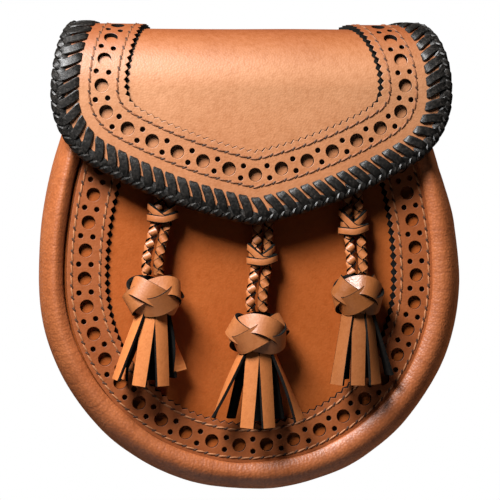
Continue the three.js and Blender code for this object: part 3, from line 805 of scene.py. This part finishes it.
def make_gusset(material):
    """A soft roll that is spun round the bottom of the pouch and drawn up its sides."""
    seam = PANEL_THICK + 0.2
    section = [
        (15.0, seam), (12.6, seam), (10.4, seam - 0.4), (9.9, 1.0), (10.4, -0.3), (11.0, -1.1),
        (10.5, -1.9), (9.0, -2.5), (7.2, -2.8), (5.2, -2.6), (3.0, -1.5), (1.2, 0.9), (0.3, 4.6),
        (0.0, 10.0), (0.1, 18.0), (0.5, 26.0), (1.1, 30.4), (2.6, 33.6), (5.2, 35.2), (8.2, 35.0),
        (10.2, 33.9), (12.6, POUCH_DEPTH - seam), (15.0, POUCH_DEPTH - seam),
    ]
    lean = math.asin(SIDE_ARC_RISE / SIDE_ARC_RADIUS)
    side = SIDE_ARC_RADIUS - POUCH_RADIUS
    shoulder_z = POUCH_CENTRE_Z + SIDE_ARC_RADIUS * math.sin(lean)
    shoulder = Vector((SIDE_ARC_RADIUS * math.cos(lean) - side, 0.0, shoulder_z))
    outwards = Vector((math.cos(lean), 0.0, math.sin(lean)))
    upwards = Vector((-math.sin(lean), 0.0, math.cos(lean)))
    rise = (MOUTH_Z - shoulder.z) / math.cos(lean)
    bm = bmesh.new()
    mouth = shoulder + upwards * rise
    verts = [bm.verts.new(mouth - outwards * i + Vector((0.0, FRONT_Y + y, 0.0))) for i, y in section]
    edges = [bm.edges.new(pair) for pair in zip(verts, verts[1:])]
    row = verts + edges

    def draw(geometry, step, count):
        for _ in range(count):
            lines = [e for e in geometry if isinstance(e, bmesh.types.BMEdge)]
            drawn = bmesh.ops.extrude_edge_only(bm, edges=lines)["geom"]
            moved = [v for v in drawn if isinstance(v, bmesh.types.BMVert)]
            bmesh.ops.translate(bm, verts=moved, vec=step)
            lines = [e for e in drawn if isinstance(e, bmesh.types.BMEdge)]
            geometry = moved + [e for e in lines if all(v in moved for v in e.verts)]
        return geometry

    def spin(geometry, x, angle, count):
        return bmesh.ops.spin(
            bm, geom=geometry, cent=(x, 0.0, POUCH_CENTRE_Z), axis=(0.0, 1.0, 0.0), angle=angle, steps=count
        )["geom_last"]

    row = draw(row, -upwards * rise / 12, 12)
    row = spin(row, -side, lean, 24)
    row = spin(row, 0.0, math.pi, 120)
    row = spin(row, side, lean, 24)
    mirrored_up = Vector((math.sin(lean), 0.0, math.cos(lean)))
    draw(row, mirrored_up * rise / 12, 12)
    bmesh.ops.recalc_face_normals(bm, faces=bm.faces)
    uv = bm.loops.layers.uv.new("skin")
    for face in bm.faces:
        for loop in face.loops:
            loop[uv].uv = (roll_distance(loop.vert.co) * MM, (loop.vert.co.y - FRONT_Y) * MM)
    bm.normal_update()
    for vert in bm.verts:
        vert.co += vert.normal * roll_swell(vert.co) + roll_lean(vert.co)
    piece = finish("gusset_leather", bm, [material], "gusset", 60.0)
    wall = piece.modifiers.new("wall", "SOLIDIFY")
    wall.thickness = GUSSET_THICK * MM
    wall.offset = -1.0
    wall.thickness_clamp = 0.35
    soften = piece.modifiers.new("soften", "SUBSURF")
    soften.levels = 1
    soften.render_levels = 1


def roll_distance(point):
    """Distance round the pouch from the middle of the bottom."""
    if point.z > POUCH_CENTRE_Z:
        return math.copysign(POUCH_RADIUS * math.pi / 2 + point.z - POUCH_CENTRE_Z, point.x)
    return POUCH_RADIUS * math.atan2(point.x, POUCH_CENTRE_Z - point.z)


def roll_swell(point):
    """Hand-shaped unevenness of the roll, with small puckers close to the front seam."""
    along = roll_distance(point)
    depth = point.y - FRONT_Y
    broad = 0.45 * noise.noise(Vector((along * 0.05, depth * 0.06, 0.0)))
    pucker = 0.16 * noise.noise(Vector((along * 0.42, depth * 0.12, 7.0)))
    return broad + pucker * math.exp(-((depth - 1.0) / 5.0) ** 2)


def roll_lean(point):
    """The soft roll sags to the right: fuller at the lower right, and its lip leans in over the border."""
    along = roll_distance(point)
    height = max(point.z - POUCH_CENTRE_Z, 0.0)
    centre = Vector((0.0, point.y, POUCH_CENTRE_Z + height))
    half_width = POUCH_RADIUS + math.sqrt(SIDE_ARC_RADIUS**2 - height**2) - SIDE_ARC_RADIUS
    inset = half_width - (point - centre).length
    in_front = min(max((1.0 - (point.y - FRONT_Y)) / 2.0, 0.0), 1.0)
    lip = in_front * min(max((inset - LIP_START) / LIP_WIDTH, 0.0), 1.0)
    stops, fullness, leaning = zip(*ROLL_LEAN)
    lean = np.interp(along, stops, leaning)
    outwards = (point - centre).normalized()
    crest = ROLL_BULGE * in_front * math.exp(-((inset - ROLL_CREST) / ROLL_CREST_WIDTH) ** 2)
    forward = Vector((0.0, -LIP_FORWARD * lip * max(lean, 0.0) - crest, 0.0))
    return outwards * (np.interp(along, stops, fullness) * (1.0 - lip) - lean * lip) + forward


# Flap


def make_flap(materials):
    outline = flap_line(FLAP_EDGE).points[::2]
    bm = drape(cut_leather(outline, [], FLAP_THICK), -FLAP_THICK, FLAP_THICK)
    finish("flap_leather", bm, materials, "flap")


def make_flap_border(materials):
    outer = flap_line(FLAP_EDGE).points[::2]
    teeth = (flap_line(FLAP_TOOTH_ROOT).eased(FLAP_TOOTH_EASE), FLAP_TOOTH_DEPTH, FLAP_TOOTH_PITCH)
    holes = punched(flap_line(FLAP_HOLES), FLAP_HOLE_PITCH, FLAP_EYELETS)
    flat = cut_leather(np.vstack((outer, pinked(*teeth)[::-1])), holes, BORDER_THICK)
    bm = drape(flat, GLUE_LINE, BORDER_THICK)
    # Painted shadow: thin black sheets in the notches of the pinked edge.
    notches = cut_leather(notch_shadows(*teeth), [], NOTCH_THICK, NOTCH_ROUNDING, 1)
    join(bm, drape(notches, GLUE_LINE, NOTCH_THICK))
    finish("flap_border_leather", bm, materials, "flap_border")


def bar(width, thick, cuts, rounding, segments=2):
    """A straight flat strap along Z from 0 to 1, with soft edges and rows of points to bend it by."""
    bm = bmesh.new()
    bmesh.ops.create_cube(bm, size=1.0, matrix=Matrix.Translation((0.0, 0.0, 0.5)))
    bmesh.ops.scale(bm, vec=(width, thick, 1.0), verts=bm.verts)
    long_edges = [e for e in bm.edges if abs(e.verts[0].co.z - e.verts[1].co.z) > 0.5]
    bmesh.ops.bevel(
        bm, geom=long_edges, offset=rounding, affect="EDGES", segments=segments, profile=0.5, material=-1
    )
    for face in bm.faces:
        face.material_index = 0 if face.normal.y > 0.97 else 1
    long_edges = [e for e in bm.edges if abs(e.verts[0].co.z - e.verts[1].co.z) > 0.5]
    bmesh.ops.subdivide_edges(bm, edges=long_edges, cuts=cuts, use_grid_fill=True)
    mesh = bpy.data.meshes.new("strap")
    bm.to_mesh(mesh)
    bm.free()
    return mesh


def between(places, steps, rows):
    """Rows of points or directions, read off at places between their steps."""
    return np.column_stack([np.interp(places, steps, rows[:, k]) for k in range(3)])


def bend(template, spine, across, out):
    """Places for a bar's points along a spine; across and out are its width and face directions."""
    points = points_of(template)
    steps = np.linspace(0.0, 1.0, len(spine))
    middle, wide, deep = (between(points[:, 2], steps, rows) for rows in (spine, across, out))
    return middle + wide * points[:, :1] + deep * points[:, 1:2]


def unit(rows):
    return rows / np.linalg.norm(rows, axis=1, keepdims=True)


def frames_on_flap(line, distance, stops):
    """A spine through stops of (inset, ahead, lift), with its width lying along the flap."""
    spine, across = [], []
    for inset, ahead, lift in stops:
        place = line.beside(distance, inset, ahead)
        spine.append(flap_point(*place, lift))
        other = line.beside(distance, inset, ahead + 0.2)
        across.append(flap_point(*other, lift) - spine[-1])
    spine = np.array(spine)
    across = unit(np.array(across))
    along = unit(np.gradient(spine, axis=0))
    across = unit(across - along * np.sum(across * along, axis=1, keepdims=True))
    return spine, across, np.cross(across, along)


def make_lacing(material):
    slits = flap_line(LACE_SLIT)
    face = BORDER_THICK + 0.1
    bm = bmesh.new()
    lace = bar(LACE_WIDTH, LACE_THICK, 7, 0.34, 1)
    over = [
        (0.3, 0.0, face - 1.0),
        (-0.1, 0.0, face + 0.1),
        (-0.8, 0.07, face + 0.5),
        (-2.6, 0.42, face + 0.66),
        (-4.4, 0.66, face + 0.7),
        (-6.2, 0.9, face + 0.7),
        (-7.8, 1.0, face + 0.3),
        (-9.4, 1.05, face - 0.9),
    ]
    under = [
        (0.0, 0.0, -FLAP_THICK - 0.1),
        (-3.8, 0.5, -FLAP_THICK - 0.35),
        (-6.4, 0.9, -FLAP_THICK - 0.3),
        (-8.8, 1.0, -FLAP_THICK + 0.6),
    ]
    count = int((slits.half - 4.0) / LACE_PITCH)
    for step in range(-count, count + 1):
        lean = LACE_LEAN * (1.0 - LACE_LEAN_CHANGE * step / count)
        for run in (over, under):
            stops = [(inset, ahead * lean, lift) for inset, ahead, lift in run]
            add_copy(bm, lace, bend(lace, *frames_on_flap(slits, step * LACE_PITCH, stops)))
    add_braid(bm, flap_line(0.0))
    for f in bm.faces:
        f.material_index = 0
    finish("flap_lacing_black", bm, [material], "flap_lacing", 35.0)


def leaf(width, thick):
    """A short turn of lace as it shows in the braid: full in the middle and drawn in at both ends."""
    template = bar(width, thick, 5, thick * 0.42, 1)
    for vert in template.vertices:
        swelling = math.sin(math.pi * vert.co.z)
        vert.co.x *= 0.35 + 0.65 * swelling**0.7
        vert.co.y += 0.35 * swelling
    return template


def add_braid(bm, line):
    """The braid along the edge: two rows of lace turns that meet in arrow points over a round core."""
    turn = leaf(3.6, 1.2)
    middle = (BORDER_THICK - FLAP_THICK) / 2
    inner_row = [
        (5.4, -2.6, middle + 1.6), (4.5, -1.5, middle + 2.2), (3.6, -0.1, middle + 2.6),
        (2.7, 1.4, middle + 2.5), (1.9, 2.8, middle + 1.7),
    ]
    outer_row = [
        (0.3, -3.0, middle - 0.4), (0.4, -1.6, middle + 0.9), (1.0, 0.0, middle + 1.9),
        (1.9, 1.5, middle + 2.3), (2.9, 2.8, middle + 1.8),
    ]
    under_row = [
        (0.3, 2.8, middle - 0.2), (0.6, 1.4, middle - 1.4), (1.7, 0.0, middle - 2.2),
        (3.0, -1.3, middle - 2.4), (4.6, -2.6, middle - 2.2),
    ]
    count = int((line.half - 3.0) / BRAID_PITCH)
    for step in range(-count, count + 1):
        for run, shift in ((inner_row, 0.0), (outer_row, BRAID_PITCH / 2), (under_row, 0.0)):
            add_copy(bm, turn, bend(turn, *frames_on_flap(line, step * BRAID_PITCH + shift, run)))
    core = bar(3.6, 3.4, 239, 1.2)
    spots = np.linspace(-line.half, line.half, 240)
    spine = np.array([flap_point(*line.beside(d, 2.7), middle) for d in spots])
    inner = np.array([flap_point(*line.beside(d, 3.7), middle) for d in spots])
    outer = np.array([flap_point(*line.beside(d, 2.7), middle + 1.0) for d in spots])
    add_copy(bm, core, bend(core, spine, unit(inner - spine), unit(outer - spine)))


# Stitching


def small_ball(length, width, height):
    bm = bmesh.new()
    bmesh.ops.create_uvsphere(bm, u_segments=8, v_segments=5, radius=0.5)
    bm.transform(Matrix.Diagonal((width, height, length, 1.0)))
    mesh = bpy.data.meshes.new("stitch")
    bm.to_mesh(mesh)
    bm.free()
    return mesh


def add_stitches(bm, line, place, start, end):
    """A line of stitches: thread that dips into slanting awl slits, along a narrow groove; the slits and
    the groove are dark marks of painted shade.
    """
    count = int((end - start) / STITCH_PITCH)
    groove = bar(0.4, 0.08, 2 * count, 0.02, 1)
    across, out, share = points_of(groove).T
    spots = [line.beside(start + t * count * STITCH_PITCH, u) for t, u in zip(share, across)]
    add_copy(bm, groove, [place(x, y, lift) for (x, y), lift in zip(spots, out)])
    # The groove is painted shadow: a dark strip where the thread shades the groove it lies in.
    for face in bm.faces[-len(groove.polygons):]:
        face.material_index = 1
    # Each stitch: a thread, and a dark slit mark of painted shade where the thread dips into the leather.
    for step in range(count + 1):
        distance = start + step * STITCH_PITCH
        for template, shift, slant, index in ((THREAD, STITCH_PITCH / 2, 0.14, 0), (SLIT, 0.0, 0.62, 1)):
            along = line.along(distance + shift)
            inwards = np.array([-along[1], along[0]])
            forward = along * math.cos(slant) + inwards * math.sin(slant)
            sideways = np.array([-forward[1], forward[0]])
            across, out, ahead = points_of(template).T
            spots = line.at(distance + shift) + np.outer(ahead, forward) + np.outer(across, sideways)
            add_copy(bm, template, [place(x, y, lift) for (x, y), lift in zip(spots, out)])
            for face in bm.faces[-len(template.polygons):]:
                face.material_index = index


def sew_line(bm, line, place):
    add_stitches(bm, line, place, -line.half + STITCH_START, line.half - STITCH_END)


def make_stitching(thread, flap_thread, dark):
    front_face = BORDER_BACK_Y - BORDER_THICK
    bm = bmesh.new()
    for inset in (FRONT_OUTER_STITCH, FRONT_INNER_STITCH):
        line = pouch_line(inset, BORDER_TOP_Z)
        sew_line(bm, line, lambda x, z, lift: Vector((x, front_face - lift, z)))
    finish("front_stitching", bm, [thread, dark], None, 60.0)
    bm = bmesh.new()
    for inset in (FLAP_OUTER_STITCH, FLAP_INNER_STITCH):
        line = flap_line(inset).eased(FLAP_STITCH_EASE)
        sew_line(bm, line, lambda x, v, lift: flap_point(x, v, BORDER_THICK + GLUE_LINE + lift))
    tail = Line(np.array([(-56.0, FLAP_END_V - 4.0), (56.0, FLAP_END_V - 4.0)]))
    add_stitches(bm, tail, lambda x, v, lift: flap_point(x, v, lift), -30.0, 28.0)
    finish("flap_stitching", bm, [flap_thread, dark], None, 60.0)
    bm = bmesh.new()
    line = pouch_line(PANEL_INSET + 3.0, 20.0)
    sew_line(bm, line, lambda x, z, lift: Vector((x, BACK_Y + lift, z)))
    loop_face = BACK_Y + LOOP_THICK + 0.3
    for z in (-18.5, 18.5):
        row = Line(np.array([(-22.0, z), (22.0, z)]))
        add_stitches(bm, row, lambda x, h, lift: Vector((x, loop_face + lift, h)), -20.0, 18.0)
    finish("back_stitching", bm, [thread, dark], None, 60.0)


def make_belt_loop(material):
    """A plain strap bent out over the belt and sewn down above and below it."""
    strap = bar(50.0, LOOP_THICK, 60, 0.5)
    seat = BACK_Y + 0.2 + LOOP_THICK / 2
    top = 2.5 + LOOP_THICK / 2
    profile = [
        (-22.0, seat), (-15.6, seat), (-14.2, seat + 0.5), (-13.9, top - 0.6), (-12.8, top), (0.0, top),
    ]
    spine = np.array([(0.0, y, z) for z, y in profile] + [(0.0, y, -z) for z, y in profile[-2::-1]])
    along = unit(np.gradient(spine, axis=0))
    across = np.tile((1.0, 0.0, 0.0), (len(spine), 1))
    distance = np.r_[0.0, np.cumsum(np.linalg.norm(np.diff(spine, axis=0), axis=1))]
    even = np.linspace(0.0, distance[-1], 61)
    spine, along, across = (between(even, distance, rows) for rows in (spine, along, across))
    along = unit(along)
    bm = bmesh.new()
    add_copy(bm, strap, bend(strap, spine, across, np.cross(across, along)))
    bmesh.ops.recalc_face_normals(bm, faces=bm.faces)
    for face in bm.faces:
        face.material_index = 0
    finish("belt_loop_leather", bm, [material], "belt_loop", 35.0)


# Tassels


def smooth_route(stops, count):
    """A smooth route through stops, at even steps."""
    stops = np.array(stops, float)
    padded = np.vstack((2 * stops[0] - stops[1], stops, 2 * stops[-1] - stops[-2]))
    pieces = []
    for a, b, c, d in zip(padded, padded[1:], padded[2:], padded[3:]):
        t = np.linspace(0.0, 1.0, 24, endpoint=False)[:, None]
        square = (2 * a - 5 * b + 4 * c - d) * t**2
        cube = (3 * b - a - 3 * c + d) * t**3
        pieces.append(0.5 * (2 * b + (c - a) * t + square + cube))
    points = np.vstack(pieces + [stops[-1:]])
    distance = np.r_[0.0, np.cumsum(np.linalg.norm(np.diff(points, axis=0), axis=1))]
    even = np.linspace(0.0, distance[-1], count)
    return between(even, distance, points), distance[-1]


def add_plait(bm, route, length, start):
    """A round plait of four flat thongs: two turn each way and pass over and under by turns."""
    core = PLAIT_RADIUS - THONG_THICK / 2 - THONG_WEAVE
    slope = math.atan2(2 * math.pi * core, PLAIT_PITCH)
    run = length / math.cos(slope)
    thong = bar(THONG_WIDTH, THONG_THICK, max(24, int(run / 0.55)), 0.26)
    across, out, share = points_of(thong).T
    along = unit(np.gradient(route, axis=0))
    side = np.tile((1.0, 0.0, 0.0), (len(route), 1))
    side = unit(side - along * np.sum(side * along, axis=1, keepdims=True))
    front = np.cross(along, side)
    steps = np.linspace(0.0, length, len(route))
    for way in (1.0, -1.0):
        for half_turn in (0.0, math.pi):
            middle = share * run * math.cos(slope)
            place = np.clip(middle - way * across * math.sin(slope), 0.0, length)
            around = way * share * run * math.sin(slope) + across * math.cos(slope)
            angle = around / core + half_turn + start
            radius = core + out + way * THONG_WEAVE * np.cos(4 * math.pi * middle / PLAIT_PITCH)
            middles, sides, fronts = (between(place, steps, rows) for rows in (route, side, front))
            outwards = sides * np.cos(angle)[:, None] + fronts * np.sin(angle)[:, None]
            add_copy(bm, thong, middles + outwards * radius[:, None])


def plait_stops(tassel, side):
    (head_x, head_z), (knot_x, knot_z), (hole_x, hole_z) = tassel["head"], tassel["knot"], tassel["hole"]
    top = head_z + tassel["size"][2] - 1.6
    return [
        (hole_x + side, FRONT_Y + 2.0, hole_z),
        (hole_x + side, FRONT_Y - 1.0, hole_z - 0.2),
        (hole_x + side, PLAIT_Y, hole_z - 5.5),
        (knot_x + side, PLAIT_Y - 0.3, knot_z),
        (head_x + side * 1.05, HEAD_Y + 1.9, top + 7.0),
        (head_x + side, HEAD_Y + 1.2, top),
    ]


def make_plaits(name, tassel, materials):
    for letter, side, start in (("a", -PLAIT_SPREAD, 0.0), ("b", PLAIT_SPREAD, math.pi / 2)):
        route, length = smooth_route(plait_stops(tassel, side), 60)
        bm = bmesh.new()
        add_plait(bm, route, length, start)
        plait = f"tassel_{name}_plait_{letter}"
        piece = finish(plait, bm, materials, f"tassel_{name}_cord", 35.0)


def make_knot(name, tassel, materials):
    """A knot that ties the two plaits: flat thongs that lie round them and cross in front."""
    knot_x, knot_z = tassel["knot"]
    bm = bmesh.new()
    thong = bar(KNOT_THONG, 1.5, 31, 0.45)
    for lean, rise, girth, dip in KNOT_TURNS:
        lean *= tassel["tie"]
        rise *= tassel["tie"]
        turn = np.linspace(0.0, 2 * math.pi, 40)
        across_x = np.cos(turn)
        spine = np.column_stack((
            knot_x + girth * across_x,
            PLAIT_Y - 0.3 + (girth - 2.4) * np.sin(turn),
            knot_z + rise + girth * (across_x * lean + dip * (np.hypot(across_x, 0.2) - 0.6)),
        ))
        out = unit(np.column_stack((across_x, np.sin(turn), 0.0 * turn)))
        along = unit(np.gradient(spine, axis=0))
        add_copy(bm, thong, bend(thong, spine, np.cross(along, out), out))
    hole_x, hole_z = tassel["hole"]
    stop = bmesh.new()
    bmesh.ops.create_cone(stop, cap_ends=True, segments=32, radius1=8.8, radius2=8.8, depth=2.0)
    rim = [e for e in stop.edges if abs(e.verts[0].co.z - e.verts[1].co.z) < 0.1]
    bmesh.ops.bevel(stop, geom=rim, offset=0.4, affect="EDGES", segments=2, profile=0.5, material=-1)
    place = Matrix.Translation((hole_x, FRONT_Y + PANEL_THICK + GAP + 1.0, hole_z))
    stop.transform(place @ Matrix.Rotation(math.pi / 2, 4, "X"))
    join(bm, stop)
    return finish(f"tassel_{name}_knot", bm, materials, f"tassel_{name}_cord", 35.0)


def head_point(size, height, turn):
    """A point on the head's egg shape and the direction out of it."""
    share = math.sqrt(max(1.0 - (height / size[2]) ** 2, 0.02))
    point = np.array([size[0] * share * math.sin(turn), -size[1] * share * math.cos(turn), height])
    out = point / np.square(size)
    return point, out / np.linalg.norm(out)


def add_head(bm, centre, size, start):
    """A woven head: one broad strap that circles the ball three times, over and under itself."""
    rows = 216
    strap = bar(HEAD_STRAP, 1.2, rows - 1, 0.3)
    size = np.array(size)
    spine, outs = [], []
    for t in np.linspace(0.0, 2 * math.pi, rows):
        point, out = head_point(size, 0.46 * size[2] * math.cos(4 * t + 0.4), 3 * t + start)
        spine.append(point + out * (0.15 + 0.75 * math.sin(8 * t + 0.8)))
        outs.append(out)
    spine, outs = np.array(spine), np.array(outs)
    ahead = np.gradient(spine, axis=0)
    ahead[0] = ahead[-1] = spine[1] - spine[-2]
    ahead = unit(ahead)
    outs = unit(outs - ahead * np.sum(outs * ahead, axis=1, keepdims=True))
    across, out, share = points_of(strap).T
    steps = np.linspace(0.0, 1.0, rows)
    middle = between(share, steps, spine)
    flat = middle + between(share, steps, np.cross(ahead, outs)) * across[:, None]
    reach = np.linalg.norm(middle / size, axis=1) + out / size[1]
    add_copy(bm, strap, flat * (reach / np.linalg.norm(flat / size, axis=1))[:, None] + centre)
    for face in bm.faces:
        if face.material_index == 0:
            face.material_index = 2
    core = bmesh.new()
    bmesh.ops.create_uvsphere(core, u_segments=24, v_segments=14, radius=1.0)
    core.transform(Matrix.Translation(centre) @ Matrix.Diagonal((*(size - (3.0, 2.6, 3.4)), 1.0)))
    for face in core.faces:
        face.material_index = 1
    join(bm, core)


def add_strip(bm, template, centre, strip):
    around, foot_x, foot_y, drop, twist, curl = strip
    count = 16
    share = np.linspace(0.0, 1.0, count)
    facing = np.radians(around + twist * share**3)
    turn = math.radians(around)
    neck = np.array([math.sin(turn) * NECK_RADIUS, -math.cos(turn) * NECK_RADIUS * NECK_FLATNESS])
    spread = share**1.15
    sag = np.sin(share * math.pi) * curl
    spine = np.column_stack((
        centre[0] + neck[0] + (foot_x - neck[0]) * spread + np.sin(facing) * sag * 0.4,
        centre[1] + neck[1] + (foot_y - neck[1]) * spread - np.cos(facing) * sag * 0.4,
        centre[2] - STRIP_TOP - (drop - STRIP_TOP) * share,
    ))
    along = unit(np.gradient(spine, axis=0))
    across = np.column_stack((np.cos(facing), np.sin(facing), np.zeros(count)))
    across = unit(across - along * np.sum(across * along, axis=1, keepdims=True))
    out = np.cross(across, along)
    outward = np.column_stack((np.sin(facing), -np.cos(facing), np.zeros(count)))
    out = out * np.sign(np.sum(out * outward, axis=1, keepdims=True))
    add_copy(bm, template, bend(template, spine, across, out))


def make_tassel(name, tassel, materials):
    head_x, head_z = tassel["head"]
    centre = np.array([head_x, HEAD_Y, head_z])
    bm = bmesh.new()
    add_head(bm, centre, tassel["size"], tassel["turn"])
    template = bar(STRIP_WIDTH, STRIP_THICK, 15, 0.2)
    for strip in STRIPS[name]:
        add_strip(bm, template, centre, strip)
    bmesh.ops.recalc_face_normals(bm, faces=bm.faces)
    return finish(f"tassel_{name}_strips", bm, materials, f"tassel_{name}", 35.0)


make_camera()
make_studio()
make_floor(floor_paint())

# Colour of the flap by height, painted light: a painted highlight across the middle, where it is paler, and
# painted shade along the fold at the top, where it is darker
FLAP_PAINTED_LIGHT = [
    (0.1, (1.0, 1.0, 1.0)),
    (0.55, (1.0, 1.14, 1.32)),
    (0.7, (0.86, 0.92, 0.97)),
    (0.82, (0.68, 0.62, 0.5)),
    (1.0, (0.5, 0.33, 0.18)),
]

# The dyes of each hide: dark, middle, light
# The flap and its border are painted paler than the front of the pouch, though they are the same leather:
# painted light, for the stronger light and sheen that fall on the flap.
FLAP_DYES_PAINTED_LIGHTER = ((0.59, 0.215, 0.078), (0.62, 0.235, 0.088), (0.65, 0.255, 0.1))
FLAP_BORDER_DYES_PAINTED_LIGHTER = ((0.55, 0.2, 0.072), (0.59, 0.225, 0.085), (0.63, 0.25, 0.1))
FRONT_DYES = ((0.4, 0.09, 0.012), (0.43, 0.099, 0.015), (0.46, 0.112, 0.019))
FRONT_BORDER_DYES = ((0.32, 0.08, 0.017), (0.355, 0.092, 0.021), (0.39, 0.107, 0.026))
ROLL_DYES = ((0.4, 0.11, 0.031), (0.45, 0.13, 0.039), (0.49, 0.15, 0.048))
PLAIT_DYES = ((0.46, 0.145, 0.042), (0.51, 0.168, 0.05), (0.56, 0.195, 0.062))
STRIP_DYE = (0.69, 0.226, 0.065)
HEAD_DYE = (0.52, 0.168, 0.043)

flap_hide = leather("flap_leather", *FLAP_DYES_PAINTED_LIGHTER, 0.52, 1.0, FLAP_PAINTED_LIGHT)
border_hide = leather("flap_border_leather", *FLAP_BORDER_DYES_PAINTED_LIGHTER, 0.52, 1.0, FLAP_PAINTED_LIGHT)
front_hide = leather("front_leather", *FRONT_DYES, 0.56, 0.3)
front_border_hide = leather("front_border_leather", *FRONT_BORDER_DYES, 0.54, 0.5)
roll_hide = soft_leather("gusset_leather", *ROLL_DYES, 0.46)
plait_hide = leather("plait_leather", *PLAIT_DYES, 0.42, 0.8)
lace_hide = black_lace_leather()
raw_hide = flesh_side()
tan_thread = thread_material("tan_thread", (0.35, 0.125, 0.045), (0.51, 0.22, 0.095))
# The flap's thread is painted darker than the front's: painted shade, for the shade that lies along the
# flap's stitch lines.
flap_thread_painted_darker = thread_material("flap_thread_painted_darker", (0.2, 0.066, 0.022), (0.34, 0.13, 0.052))
# The awl slits and the groove along each stitch line are painted shade: dark marks for the shade in the
# holes and in the groove.
awl_and_groove_shade = thread_material("awl_slit_and_groove_shade", (0.035, 0.011, 0.004), (0.1, 0.035, 0.013))

THREAD = small_ball(4.2, 0.9, 0.85)
SLIT = small_ball(2.3, 0.95, 0.34)

for tassel_name, tassel_place in TASSELS.items():
    strip_shade, head_shade, head_roughness = TASSEL_PAINTED_SHADE[tassel_name]
    hide = f"tassel_{tassel_name}"
    strip_hide = shaded_copy_leather(f"{hide}_leather", STRIP_DYE, strip_shade, 0.52, 0.25)
    head_hide = shaded_copy_leather(f"{hide}_head_leather", HEAD_DYE, head_shade, head_roughness, 0.8)
    knot = make_knot(tassel_name, tassel_place, [plait_hide, raw_hide])
    strips = make_tassel(tassel_name, tassel_place, [strip_hide, raw_hide, head_hide])
    make_plaits(tassel_name, tassel_place, [plait_hide, raw_hide])

make_front_panel([front_hide, raw_hide])
make_front_border([front_border_hide, raw_hide])
make_gusset(roll_hide)
make_back_panel([front_hide, raw_hide])
make_belt_loop(front_border_hide)
make_flap([flap_hide, raw_hide])
make_flap_border([border_hide, raw_hide])
make_lacing(lace_hide)
make_stitching(tan_thread, flap_thread_painted_darker, awl_and_groove_shade)
